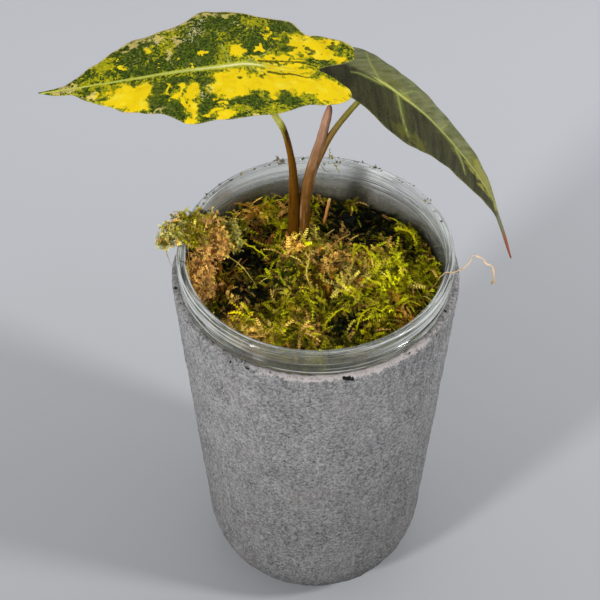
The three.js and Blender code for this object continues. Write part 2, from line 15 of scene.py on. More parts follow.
import bmesh
import bpy
import numpy as np
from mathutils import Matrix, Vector

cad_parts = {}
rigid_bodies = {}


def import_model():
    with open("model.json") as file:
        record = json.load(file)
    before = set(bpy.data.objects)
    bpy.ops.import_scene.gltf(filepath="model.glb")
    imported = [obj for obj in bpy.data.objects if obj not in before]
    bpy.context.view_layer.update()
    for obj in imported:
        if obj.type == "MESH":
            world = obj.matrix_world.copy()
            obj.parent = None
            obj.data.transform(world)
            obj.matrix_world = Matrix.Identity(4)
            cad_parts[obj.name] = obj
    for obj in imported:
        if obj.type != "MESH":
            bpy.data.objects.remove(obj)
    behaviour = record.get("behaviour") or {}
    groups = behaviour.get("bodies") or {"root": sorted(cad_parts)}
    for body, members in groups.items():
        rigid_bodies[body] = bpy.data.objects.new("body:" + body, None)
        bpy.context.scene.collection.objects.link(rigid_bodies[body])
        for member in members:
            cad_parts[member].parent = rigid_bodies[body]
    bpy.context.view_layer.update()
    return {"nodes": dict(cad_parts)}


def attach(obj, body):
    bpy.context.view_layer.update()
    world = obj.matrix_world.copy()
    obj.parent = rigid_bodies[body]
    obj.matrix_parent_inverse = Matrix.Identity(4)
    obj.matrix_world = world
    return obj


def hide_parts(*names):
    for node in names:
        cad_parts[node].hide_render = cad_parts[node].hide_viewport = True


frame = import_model()

MM = 0.001
BODY = "root"
Array = np.ndarray
Colour = tuple[float, float, float]
Point = tuple[float, float, float]
Line = Sequence[tuple[float, float]]
Faces = list[tuple[int, ...]]
Patch = tuple[float, float, float, float]
Mesh = bpy.types.Mesh
Material = bpy.types.Material
log = logging.getLogger("kris_plant")


def linear(red: float, green: float, blue: float) -> Colour:
    """Turns a display colour, with values from 0 to 255, into the linear one that a shader takes.

    Args:
        red: its red.
        green: its green.
        blue: its blue.

    Returns:
        The linear colour.
    """
    shares = np.array([red, green, blue]) / 255
    low, high = shares / 12.92, ((shares + 0.055) / 1.055) ** 2.4
    return tuple(float(v) for v in np.where(shares <= 0.04045, low, high))


# Forms


def hold(mesh: Mesh, values: dict[str, Array], domain: str) -> None:
    """Stores named numbers and vectors in a mesh.

    Args:
        mesh: the mesh.
        values: the numbers or vectors, by name.
        domain: what they belong to, the points or the faces.
    """
    for name, value in values.items():
        kind, part = ("FLOAT", "value") if value.ndim == 1 else ("FLOAT_VECTOR", "vector")
        attribute = mesh.attributes.new(name, kind, domain)
        attribute.data.foreach_set(part, np.ascontiguousarray(value, np.float32).ravel())


@dataclass
class Form:
    """Points in millimetres, the faces between them, and named values at each point."""

    points: Array
    faces: Faces
    values: dict[str, Array] = field(default_factory=dict)

    @staticmethod
    def joined(forms: Sequence["Form"]) -> "Form":
        """Puts forms with the same named values together.

        Args:
            forms: the forms.

        Returns:
            One form that holds them all.
        """
        starts = np.cumsum([0, *[len(form.points) for form in forms]])
        faces = [
            tuple(corner + int(start) for corner in face)
            for form, start in zip(forms, starts)
            for face in form.faces
        ]
        names = forms[0].values
        values = {name: np.concatenate([form.values[name] for form in forms]) for name in names}
        return Form(np.concatenate([form.points for form in forms]), faces, values)

    def mesh(self, name: str) -> Mesh:
        """Makes a smooth mesh in metres, with the named values as its attributes.

        Args:
            name: the mesh's name.

        Returns:
            The mesh.
        """
        mesh = bpy.data.meshes.new(name)
        mesh.from_pydata((self.points * MM).tolist(), [], self.faces)
        hold(mesh, self.values, "POINT")
        mesh.shade_smooth()
        mesh.update()
        return mesh


def set_in_place(mesh: Mesh, finish: Material, nodes: Sequence[str] = ()) -> None:
    """Makes a mesh a piece of the plant and reports it.

    Args:
        mesh: the piece's mesh, whose name is the piece's name.
        finish: its material.
        nodes: the CAD nodes that it stands for.
    """
    piece = bpy.data.objects.new(mesh.name, mesh)
    bpy.context.scene.collection.objects.link(piece)
    if not mesh.materials:
        mesh.materials.append(finish)
    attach(piece, BODY)
    if nodes:
        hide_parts(*nodes)
    triangles = sum(len(face.vertices) - 2 for face in mesh.polygons)
    log.info("%s: %d triangles", piece.name, triangles)


def ripples(points: Array, size: float, seed: int, count: int = 22) -> Array:
    """Smooth seeded unevenness over points.

    Args:
        points: the points, in any number of dimensions.
        size: the usual distance from crest to crest.
        seed: the seed.
        count: how many waves are laid over each other.

    Returns:
        A value for each point, mostly between -1 and 1.
    """
    rng = np.random.default_rng(seed)
    ways = rng.normal(size=(count, points.shape[1]))
    ways /= np.linalg.norm(ways, axis=1, keepdims=True)
    paces = 2 * np.pi / size * rng.uniform(0.6, 1.5, count)
    starts = rng.uniform(0, 2 * np.pi, count)
    total = np.zeros(len(points))
    for way, pace, start in zip(ways, paces, starts):
        total += np.sin(points @ way * pace + start)
    return total / math.sqrt(count)


def smooth(value: Array, low: float, high: float) -> Array:
    """Rises smoothly from 0 at `low` to 1 at `high`, which may be the smaller of the two."""
    share = np.clip((value - low) / (high - low), 0, 1)
    return share * share * (3 - 2 * share)


class Path:
    """A smooth line through points, read by the distance along it."""

    def __init__(self, points: Sequence[Sequence[float]], steps: int = 120) -> None:
        """Draws a centripetal Catmull-Rom line.

        Args:
            points: what the line goes through.
            steps: how many steps are drawn between two points.
        """
        given = np.array(points, float)
        spans = len(given) - 1
        held = np.concatenate([[2 * given[0] - given[1]], given, [2 * given[-1] - given[-2]]])
        place = np.linspace(0, spans, spans * steps + 1)
        span = np.minimum(place.astype(int), spans - 1)
        share = (place - span)[:, None]
        corners = [held[span + i] for i in range(4)]
        gaps = [
            np.maximum(np.linalg.norm(b - a, axis=1), 1e-8)[:, None] ** 0.5
            for a, b in zip(corners, corners[1:])
        ]
        start = self._slope(*corners[:3], *gaps[:2]) * gaps[1]
        end = self._slope(*corners[1:], *gaps[1:]) * gaps[1]
        _, a, b, _ = corners
        self.points = (
            a + start * share
            + (3 * (b - a) - 2 * start - end) * share**2
            + (2 * (a - b) + start + end) * share**3
        )
        steps_taken = np.linalg.norm(np.diff(self.points, axis=0), axis=1)
        self.reached = np.concatenate([[0], np.cumsum(steps_taken)])
        self.length = float(self.reached[-1])
        self.steps = steps

    @staticmethod
    def _slope(a: Array, b: Array, c: Array, first: Array, second: Array) -> Array:
        """The line's slope at the middle of three corners, by the roots of the gaps between them."""
        return (b - a) / first - (c - a) / (first + second) + (c - b) / second

    def at(self, distance: Array) -> Array:
        """The points at distances from the start, with the coordinates last."""
        columns = self.points.T
        return np.stack([np.interp(distance, self.reached, column) for column in columns], -1)

    def spread(self, count: int) -> Array:
        """Evenly spaced points along the whole line."""
        return self.at(np.linspace(0, self.length, count))


def skin_faces(rings: int, sides: int) -> Faces:
    """The faces over rings of points and over the two poles that come after them.

    Args:
        rings: how many rings there are.
        sides: how many points each has.

    Returns:
        The faces.
    """
    foot, last = rings * sides, (rings - 1) * sides
    faces = []
    for start in range(0, last, sides):
        for j in range(sides):
            k = (j + 1) % sides
            faces.append((start + j, start + k, start + sides + k, start + sides + j))
    for j in range(sides):
        k = (j + 1) % sides
        faces += [(foot, k, j), (last + j, last + k, foot + 1)]
    return faces


def tube(line: Array, radii: Array, sides: int, swell: Callable | None = None) -> Form:
    """A round bar along a line, closed at both ends.

    Args:
        line: the points that it follows.
        radii: its radius at each of them.
        sides: how many sides it has.
        swell: a rule of the share along (rows) and the turn about (columns) that the radius is
            multiplied by.

    Returns:
        The form, with its share `along` (0 to 1) and its `turn` (0 to 1) at each point.
    """
    rows = len(line)
    travel = np.gradient(line, axis=0)
    travel /= np.linalg.norm(travel, axis=1, keepdims=True)
    side = np.cross(travel[0], [0.3, 0.9, 0.2])
    first = np.zeros((rows, 3))
    for row, way in enumerate(travel):
        side = side - way * (side @ way)
        side = side / np.linalg.norm(side)
        first[row] = side
    second = np.cross(travel, first)
    turn = np.linspace(0, 2 * np.pi, sides, endpoint=False)
    along = np.linspace(0, 1, rows)
    reach = np.repeat(radii[:, None], sides, 1)
    if swell:
        reach = reach * swell(along[:, None], turn[None, :])
    ring = first[:, None] * np.cos(turn)[:, None] + second[:, None] * np.sin(turn)[:, None]
    skin = (line[:, None] + ring * reach[..., None]).reshape(-1, 3)
    values = {
        "along": np.concatenate([np.repeat(along, sides), [0, 1]]),
        "turn": np.concatenate([np.tile(turn / (2 * np.pi), rows), [0, 0]]),
    }
    return Form(np.concatenate([skin, line[:1], line[-1:]]), skin_faces(rows, sides), values)


def turned(profile: Array, steps: int) -> Form:
    """A profile turned about the Z axis, from one pole to the other.

    Args:
        profile: rows of radius and height. The first and the last lie on the axis.
        steps: how many steps there are in a whole turn.

    Returns:
        The closed form, which faces outwards for a profile that goes out along the bottom first.
    """
    rings = profile[1:-1]
    turn = np.linspace(0, 2 * np.pi, steps, endpoint=False)
    radii, heights = rings[:, :1], np.repeat(rings[:, 1:], steps, 1)
    skin = np.stack([radii * np.cos(turn), radii * np.sin(turn), heights], -1).reshape(-1, 3)
    poles = [[0, 0, profile[0, 1]], [0, 0, profile[-1, 1]]]
    return Form(np.concatenate([skin, poles]), skin_faces(len(rings), steps))


def spaced(corners: Sequence[Sequence[float]], step: float) -> Array:
    """Fills in a line of straight pieces, so that no step along it is longer than `step`.

    Args:
        corners: the corners, which all stay.
        step: the longest step.

    Returns:
        The points.
    """
    given = np.array(corners, float)
    filled = [given[:1]]
    for a, b in zip(given, given[1:]):
        count = max(1, math.ceil(float(np.linalg.norm(b - a)) / step))
        filled.append(a + (b - a) * np.arange(1, count + 1)[:, None] / count)
    return np.concatenate(filled)


def arc(
    centre: tuple[float, float], radius: float, start: float, end: float, steps: int
) -> list[tuple[float, float]]:
    """Points on a round of a profile, from one angle to another in degrees."""
    turns = np.radians(np.linspace(start, end, steps + 1))
    return [(centre[0] + radius * math.cos(a), centre[1] + radius * math.sin(a)) for a in turns]


# Node trees and materials


def sum_method(operation: str, swapped: bool = False) -> Callable:
    """Makes a method that writes a sum of Python as a Math node.

    Args:
        operation: the node's operation.
        swapped: whether the other value comes first.

    Returns:
        The method.
    """
    def lay(self: "Shade", other: "Shade | float") -> "Shade":
        """Lays the node."""
        inputs = dict(enumerate((other, self) if swapped else (self, other)))
        return self.tree.node("ShaderNodeMath", {"operation": operation}, inputs)

    return lay


class Shade:
    """A value in a node tree, for sums written as expressions."""

    __add__, __radd__ = sum_method("ADD"), sum_method("ADD", True)
    __sub__, __rsub__ = sum_method("SUBTRACT"), sum_method("SUBTRACT", True)
    __mul__, __rmul__ = sum_method("MULTIPLY"), sum_method("MULTIPLY", True)
    __truediv__, most = sum_method("DIVIDE"), sum_method("MAXIMUM")

    def __init__(self, tree: "Tree", socket: bpy.types.NodeSocket) -> None:
        """Wraps an output socket of one of the tree's nodes."""
        self.tree = tree
        self.socket = socket

    def rise(self, low: float, high: float) -> "Shade":
        """A smooth step of this value, from 0 at `low` to 1 at `high`."""
        inputs = {"Value": self, "From Min": low, "From Max": high}
        return self.tree.node("ShaderNodeMapRange", {"interpolation_type": "SMOOTHSTEP"}, inputs)


class Tree:
    """A node tree while its nodes are laid."""

    def __init__(self, tree: bpy.types.NodeTree) -> None:
        """Takes the tree."""
        self.tree = tree

    def node(
        self, kind: str, settings: dict | None = None, inputs: dict | None = None,
        output: str | int = 0,
    ) -> Shade:
        """Adds a node.

        Args:
            kind: the node's type.
            settings: its settings, which are set first. `stops` holds a ramp's places and colours.
            inputs: what goes into its sockets, by identifier, name or number.
            output: the output that is wanted, by identifier, name or number.

        Returns:
            The wanted output.
        """
        made = self.tree.nodes.new(kind)
        for name, value in (settings or {}).items():
            if name == "stops":
                self._set_stops(made.color_ramp, value)
            else:
                setattr(made, name, value)
        for name, value in (inputs or {}).items():
            socket = self._socket(made.inputs, name)
            if isinstance(value, Shade):
                self.tree.links.new(value.socket, socket)
            elif socket.type == "RGBA" and len(value) == 3:
                socket.default_value = (*value, 1)
            else:
                socket.default_value = value
        return Shade(self, self._socket(made.outputs, output))

    @staticmethod
    def _set_stops(ramp: bpy.types.ColorRamp, stops: Sequence[tuple[float, Colour]]) -> None:
        """Sets a ramp's stops.

        Args:
            ramp: the ramp.
            stops: the place and colour of each stop, in order.
        """
        while len(ramp.elements) < len(stops):
            ramp.elements.new(1)
        for element, (place, colour) in zip(ramp.elements, stops):
            element.position = place
            element.color = (*colour, 1)

    @staticmethod
    def _socket(sockets: Sequence[bpy.types.NodeSocket], name: str | int) -> bpy.types.NodeSocket:
        """Finds a socket by its number, or the one in use by its identifier or name."""
        named = (s for s in sockets if name in (s.identifier, s.name) and s.enabled)
        return sockets[name] if isinstance(name, int) else next(named)

    def end(self, kind: str, last: Shade) -> None:
        """Leads the last value into an output node."""
        self.tree.links.new(last.socket, self.tree.nodes.new(kind).inputs[0])


class Paint(Tree):
    """A procedural material while its nodes are laid."""

    def __init__(self, name: str) -> None:
        """Starts an empty material.

        Args:
            name: the material's name.
        """
        self.material = bpy.data.materials.new(name)
        self.material.use_nodes = True
        super().__init__(self.material.node_tree)
        self.tree.nodes.clear()

    def place(self, stretch: Point = (1, 1, 1)) -> Shade:
        """The place on the piece, in millimetres, with each axis multiplied by a stretch."""
        inputs = {0: self.node("ShaderNodeTexCoord", output="Object"), 1: [s / MM for s in stretch]}
        return self.node("ShaderNodeVectorMath", {"operation": "MULTIPLY"}, inputs)

    def joint(self, x: Shade | float, y: Shade | float, z: Shade | float = 0.0) -> Shade:
        """A vector of three values."""
        return self.node("ShaderNodeCombineXYZ", None, {0: x, 1: y, 2: z})

    def value(self, name: str) -> Shade:
        """A named number that the mesh holds at its points."""
        return self.node("ShaderNodeAttribute", {"attribute_name": name}, output="Fac")

    def vector(self, name: str) -> Shade:
        """A named vector or colour that the mesh holds at its points."""
        return self.node("ShaderNodeAttribute", {"attribute_name": name}, output="Vector")

    def axis(self, vector: Shade, index: int) -> Shade:
        """One axis of a vector, by number."""
        return self.node("ShaderNodeSeparateXYZ", None, {0: vector}, output=index)

    def noise(self, place: Shade, size: float, detail: float = 3, rough: float = 0.55) -> Shade:
        """Soft noise about 0.5, with blots of a size in the units of the place."""
        inputs = {"Vector": place, "Scale": 1 / size, "Detail": detail, "Roughness": rough}
        return self.node("ShaderNodeTexNoise", None, inputs)

    def speck(self, place: Shade, size: float, detail: float = 3) -> Shade:
        """Strong noise about nought, mostly between -0.6 and 0.6."""
        return (self.noise(place, size, detail, 0.6) - 0.5) * 2.8

    def cells(self, place: Shade, size: float) -> Shade:
        """How far the nearest of scattered points is, in shares of the distance between them."""
        inputs = {"Vector": place, "Scale": 1 / size}
        return self.node("ShaderNodeTexVoronoi", {"feature": "F1"}, inputs, "Distance")

    def mix(self, share: Shade | float, first: Shade | Colour, second: Shade | Colour) -> Shade:
        """Mixes two linear colours, by the share of the second."""
        inputs = {"Factor_Float": share, "A_Color": first, "B_Color": second}
        return self.node("ShaderNodeMix", {"data_type": "RGBA"}, inputs, "Result_Color")

    def shaded(self, colour: Shade, value: Shade | float, hue: Shade | float = 0.5) -> Shade:
        """A colour with its brightness multiplied by a value, and its hue turned from 0.5."""
        inputs = {"Color": colour, "Value": value, "Hue": hue}
        return self.node("ShaderNodeHueSaturation", None, inputs)

    def bump(self, height: Shade, depth: float, strength: float = 1.0) -> Shade:
        """The normal of low relief, from a height of 0 to 1 and a depth in millimetres."""
        inputs = {"Strength": strength, "Distance": depth * MM, "Height": height}
        return self.node("ShaderNodeBump", None, inputs, "Normal")

    def shader(self, **sockets: Shade | float | Colour) -> Shade:
        """A Principled shader, with underscores for the spaces in its sockets' names."""
        inputs = {name.replace("_", " "): value for name, value in sockets.items()}
        return self.node("ShaderNodeBsdfPrincipled", None, inputs)

    def ended(self, surface: Shade) -> Material:
        """Ends the material in a shader."""
        self.end("ShaderNodeOutputMaterial", surface)
        return self.material

    def finished(self, **sockets: Shade | float | Colour) -> Material:
        """Ends the material in a Principled shader with the given sockets."""
        return self.ended(self.shader(**sockets))


@dataclass(frozen=True)
class StoneFinish:
    """Rough grey cast stone with sandy grains, small pits and a pale worn edge, with painted shade
    towards its foot and on its inner wall.
    """

    dark: Colour = linear(88, 88, 89)
    light: Colour = linear(182, 181, 181)
    warm: Colour = linear(152, 144, 138)
    worn: Colour = linear(196, 186, 183)
    chip: Colour = linear(26, 25, 26)
    rust: Colour = linear(120, 66, 54)
    # painted shade: the dark colour of the pot's inner wall, which lies in shade behind the cup
    inside: Colour = linear(44, 44, 43)

    def paint(self) -> Material:
        """Lays the material.

        Returns:
            The material.
        """
        paint = Paint("cast_stone")
        place = paint.place()
        grain = paint.speck(place, 1.25, 4)
        sand = paint.speck(place, 0.6, 2)
        cloud = paint.speck(place, 12, 2)
        runs = paint.speck(paint.place((1, 1, 0.16)), 2.2, 2)
        pits = paint.cells(place, 1.7)
        tone = grain * 0.62 + sand * 0.6 + cloud * 0.16 + runs * 0.16 + 0.5
        body = paint.mix(tone.rise(-0.15, 1.15), self.dark, self.light)
        body = paint.mix(paint.speck(place, 18, 2) * 0.5, body, self.warm)
        body = paint.mix((1 - pits.rise(0.07, 0.17)) * 0.7, body, self.chip)
        rust = paint.noise(place, 2.4, 1).rise(0.8, 0.83)
        body = paint.mix(rust * 0.5, body, self.rust)
        worn = paint.value("worn") + grain * 0.3 + sand * 0.3
        body = paint.mix(worn.rise(0.3, 0.9) * 0.8, body, self.worn)
        chip = paint.value("chip") + grain * 0.4 + sand * 0.3
        body = paint.mix(chip.rise(0.5, 0.6), body, self.chip)
        # painted shade: the stone is painted darker towards the heel and the foot, where less light
        # reaches it
        height = paint.axis(place, 2)
        body = paint.shaded(body, 0.42 + height.rise(0, 30) * 0.3 + height.rise(20, 130) * 0.26)
        # painted shade on the pot's inner wall
        body = paint.mix(paint.value("inside"), body, self.inside)
        relief = grain * 0.4 + sand * 0.35 + pits.rise(0, 0.3) * 0.4 + 0.5
        return paint.finished(
            Base_Color=body, Roughness=0.95, Specular_IOR_Level=0.12,
            Normal=paint.bump(relief, 0.5, 0.9),
        )


@dataclass(frozen=True)
class ClearFinish:
    """Clear moulded plastic, hazy, with fine streaks that run round it, painted light and dark as painted
    highlights and painted shade, painted glints on the lip, and painted light and a painted moss
    reflection on the inner wall.
    """

    body: Colour = linear(232, 238, 226)
    # painted colours: a painted highlight, painted shade for the dark lines, a painted reflection of the
    # moss and painted light on the wall, in that order
    bright: Colour = linear(236, 240, 240)
    dim: Colour = linear(62, 64, 56)
    warm: Colour = linear(112, 100, 66)
    pale: Colour = linear(186, 186, 182)

    def near(self, x: Shade, y: Shade, at_x: float, at_y: float, reach: float) -> Shade:
        """How near a place lies to another, from above: 1 there, 0 beyond the reach."""
        aside, ahead = (x - at_x) / reach, (y - at_y) / reach
        return 1 - (aside * aside + ahead * ahead).rise(0.0, 1.0)

    def paint(self) -> Material:
        """Lays the material.

        Returns:
            The material.
        """
        paint = Paint("clear_plastic")
        place = paint.place()
        x, y, z = (paint.axis(place, index) for index in range(3))
        radius = paint.node("ShaderNodeMath", {"operation": "SQRT"}, {0: x * x + y * y})
        ring = paint.joint(radius, z + x * 0.01, y * 0.02)
        streaks, broad = paint.speck(ring, 0.42, 2), paint.speck(ring, 1.5, 2)
        smears = paint.speck(place, 9, 3)
        # back, side and left place painted light and painted shade on the lip by where it faces; back
        # also thins the alpha at the back
        high, back = z.rise(144, 147), y.rise(-5, 32)
        side = (x * x).rise(900, 1900) * high
        left = ((0 - x).rise(20, 44) + x.rise(26, 46) * 0.7) * high
        # painted glints on the lip, at two places at the back
        glint = self.near(x, y, -33, 26, 11).most(self.near(x, y, 19, 38, 13)) * high
        light = streaks + broad * 0.35 + smears * 0.2 + back * 0.08 + side * 0.16 + left * 0.14
        # right lightens the front-right of the lip as painted light
        right = x.rise(0, 26) * (1 - y.rise(-30, -6)) * high
        light = (light + glint * 0.3 + right * 0.16).rise(0.16, 0.5)
        shade = (0 - streaks - broad * 0.35 - back * 0.2 - side * 0.3 - left * 0.2).rise(0.14, 0.5)
        relief = paint.bump(streaks * 0.5 + broad * 0.4 + 0.5, 0.05, 0.8)
        clear = paint.shader(
            Base_Color=self.body, Roughness=0.07, IOR=1.42, Transmission_Weight=0.96,
            Alpha=0.62 - back * high * 0.24 + smears * 0.1, Coat_Weight=1.0, Coat_Roughness=0.06,
            Normal=relief,
        )
        # the inner wall at the back gets painted light, lighter at the top and darker towards the moss,
        # and a warm painted reflection of the moss
        wall = (1 - high) * back
        lit = (z + streaks * 1.6 + broad * 1.6).rise(137, 146)
        # painted streaks: painted highlights where the light is high and painted shade, dark refracted
        # lines, where it is low
        painted_streak_light = paint.mix(light.rise(0.1, 0.6), self.dim, self.bright)
        painted_wall_light = paint.mix(lit, self.warm, self.pale)
        haze_and_painted_light = paint.shader(
            Base_Color=paint.mix(wall, painted_streak_light, painted_wall_light), Roughness=0.25,
            Alpha=0.8, Coat_Weight=0.7, Coat_Roughness=0.08, Normal=relief,
        )
        # low darkens the groove and the ring under the lip at the front, as painted shade
        low = (150 - z).rise(0.2, 0.7) * high * (1 - y.rise(-44, -14))
        share = light.most(shade * 0.9).most(low) * (0.14 + high * 0.42)
        share = share + glint * 0.4 + left * 0.16 + wall * (0.14 + lit * 0.26) + 0.03
        surface = paint.node("ShaderNodeMixShader", None, {0: share, 1: clear, 2: haze_and_painted_light})
        return paint.ended(surface)


@dataclass(frozen=True)
class MossFinish:
    """Moss whose colour comes from where it grows, lighter towards the tips of its fronds: partly the
    tips' paler colour and partly painted shade at the feet of the fronds.
    """

    name: str
    foot: float = 0.3
    tip: float = 1.3

    def paint(self) -> Material:
        """Lays the material.

        Returns:
            The material.
        """
        paint = Paint(self.name)
        tipward, shade = paint.value("tipward"), paint.value("shade")
        # darker at the frond feet as painted shade, lighter at the tips partly by their own paler colour
        value = (self.foot + tipward * (self.tip - self.foot)) * (0.5 + shade)
        grain = paint.noise(paint.place(), 0.5, 2)
        colour = paint.shaded(
            paint.vector("tint"), value * (0.6 + grain * 0.8), 0.5 + (shade - 0.5) * 0.03
        )
        return paint.finished(Base_Color=colour, Roughness=0.6, Specular_IOR_Level=0.12)


@dataclass(frozen=True)
class FibreFinish:
    """A dry or fresh stem: long fibres along it, and a colour that changes with the height."""

    name: str
    stops: Sequence[tuple[float, Colour]]
    low: float
    high: float
    streak: Colour = linear(60, 36, 16)
    streaks: float = 0.5
    rough: float = 0.5
    burnt: Colour = linear(30, 16, 6)
    tilt: float = 0.0

    def paint(self) -> Material:
        """Lays the material.

        Returns:
            The material.
        """
        paint = Paint(self.name)
        place = paint.place()
        height = (paint.axis(place, 2) - self.low) / (self.high - self.low)
        blot = paint.noise(place, 2.2, 3)
        turn = paint.joint(paint.value("turn") * 9, paint.value("along") * 4)
        fibre = paint.noise(turn, 0.8, 3)
        ramp = paint.node(
            "ShaderNodeValToRGB", {"stops": list(self.stops)},
            {"Fac": height + (blot - 0.5) * 0.12 + (paint.axis(place, 0) + 10.5) * self.tilt},
        )
        body = paint.mix(fibre.rise(0.5, 0.72) * self.streaks, ramp, self.streak)
        body = paint.shaded(body, 0.7 + blot * 0.6)
        scar = paint.value("scar") + (blot - 0.5) * 0.8
        body = paint.mix(scar.rise(0.4, 0.75) * 0.9, body, self.burnt)
        return paint.finished(
            Base_Color=body, Roughness=self.rough, Specular_IOR_Level=0.22,
            Normal=paint.bump(fibre, 0.12, 0.7),
        )


@dataclass(frozen=True)
class VariegatedFinish:
    """A mottled blade: deep green with lime speckle, sunny yellow fields and cream flecks."""

    deep: Colour = linear(30, 48, 4)
    mid: Colour = linear(92, 108, 12)
    moss_lime: Colour = linear(122, 128, 6)
    lime: Colour = linear(184, 178, 8)
    yellow: Colour = linear(237, 206, 4)
    amber: Colour = linear(221, 182, 4)
    # partly painted sheen: the paler yellow of the sheen patches
    light: Colour = linear(242, 222, 54)
    tan: Colour = linear(176, 160, 84)
    cream: Colour = linear(216, 206, 158)
    vein: Colour = linear(168, 176, 84)
    soft: Colour = linear(104, 112, 44)
    rib: Colour = linear(186, 192, 64)
    pale: Colour = linear(244, 238, 170)
    margin: Colour = linear(226, 204, 122)
    under: Colour = linear(150, 158, 74)

    def paint(self) -> Material:
        """Lays the material.

        Returns:
            The material.
        """
        paint = Paint("variegated_leaf")
        leaf = paint.vector("leaf")
        wide, mid = paint.speck(leaf, 5.5, 2), paint.speck(leaf, 2.0, 3)
        fine, dust = paint.speck(leaf, 0.85, 3), paint.speck(leaf, 0.4, 2)
        lime, yellow, dark, cream = (
            paint.value(name) for name in ("lime", "yellow", "dark", "cream")
        )
        grain = mid * 0.4 + fine * 0.7 + dust * 0.5
        green = paint.mix(grain.rise(-0.35, 0.5), self.deep, self.mid)
        green = paint.mix((wide - mid * 0.5 + fine * 0.4).rise(0.1, 0.7) * 0.6, green, self.soft)
        limes = paint.mix(fine * 0.8 + dust * 0.6 + mid * 0.3 + 0.45, self.moss_lime, self.lime)
        mottle = mid * 0.6 + fine * 0.65 + dust * 0.35 + wide * 0.35 + lime * 0.7 - dark * 0.5
        body = paint.mix(mottle.rise(-0.04, 0.5) * 0.95, green, limes)
        dull = (fine * 0.6 - mid * 0.4 + dust * 0.7).rise(0.3, 0.6)
        body = paint.mix(dull * 0.4, body, self.tan)
        sun = paint.mix(paint.speck(leaf, 3.4, 4).rise(0, 0.5) * 0.7, self.yellow, self.amber)
        # paler patches in the yellow: partly random tone and partly painted sheen
        sun = paint.mix(paint.speck(leaf, 4.8, 3).rise(0.05, 0.5) * 0.7, sun, self.light)
        field = yellow + wide * 0.12 + mid * 0.26 + fine * 0.22 + dust * 0.12
        body = paint.mix(field.rise(0.16, 0.44) * 0.75, body, limes)
        stray = fine * 0.7 + dust * 0.5 + mid * 0.6 + lime * 0.3 - dark * 0.35 - 0.46
        body = paint.mix(stray.rise(0, 0.22) * 0.65, body, sun)
        body = paint.mix(field.rise(0.4, 0.62), body, sun)
        fleck = (fine * 0.7 + dust * 0.7 + mid * 0.3).rise(0.5, 0.75)
        body = paint.mix(fleck * 0.3, body, self.moss_lime)
        shadow = (dark + wide * 0.1 + mid * 0.28 + fine * 0.34).rise(0.4, 0.66)
        body = paint.mix(shadow * 0.92, body, green)
        spot = paint.value("spot") + mid * 0.2 + fine * 0.3 + dust * 0.12
        body = paint.mix(spot.rise(0.4, 0.6), body, sun)
        tan = (paint.value("tan") + mid * 0.45 + fine * 0.5 + dust * 0.2).rise(0.35, 0.8)
        body = paint.mix(tan * 0.6, body, self.margin)
        pale = (cream * 0.9 + fine * 0.8 + dust - 0.3).rise(0.35, 0.75)
        body = paint.mix(pale * 0.65, body, self.cream)
        line = paint.value("vein") + fine * 0.2
        body = paint.mix(line.rise(0.3, 0.9) * 0.6, body, self.vein)
        # painted shade along two creases beside the basal rib
        crease = (paint.value("crease") + mid * 0.35 + fine * 0.25).rise(0.25, 0.65)
        body = paint.mix(crease * 0.85, body, self.deep)
        rib, heart = paint.value("rib") + fine * 0.15, paint.value("heart")
        body = paint.mix(rib.rise(0.15, 0.6) * 0.8, body, self.rib)
        body = paint.mix(rib.rise(0.6, 0.95) * (0.25 + heart * 0.75), body, self.pale)
        upper = (0 - paint.axis(leaf, 1)).rise(-2, 10)
        edge = (paint.value("edge") + mid * 0.4 + fine * 0.2).rise(0.5, 0.9)
        body = paint.mix(edge * (0.12 + upper * 0.6), body, self.margin)
        body = paint.mix(paint.value("under") * 0.55, body, self.under)
        relief = fine * 0.2 + mid * 0.3 + (1 - paint.value("vein")) * 0.4 + 0.4
        return paint.finished(
            Base_Color=body, Roughness=0.5 + fine * 0.06, Specular_IOR_Level=0.13,
            Normal=paint.bump(relief, 0.16, 0.8),
        )


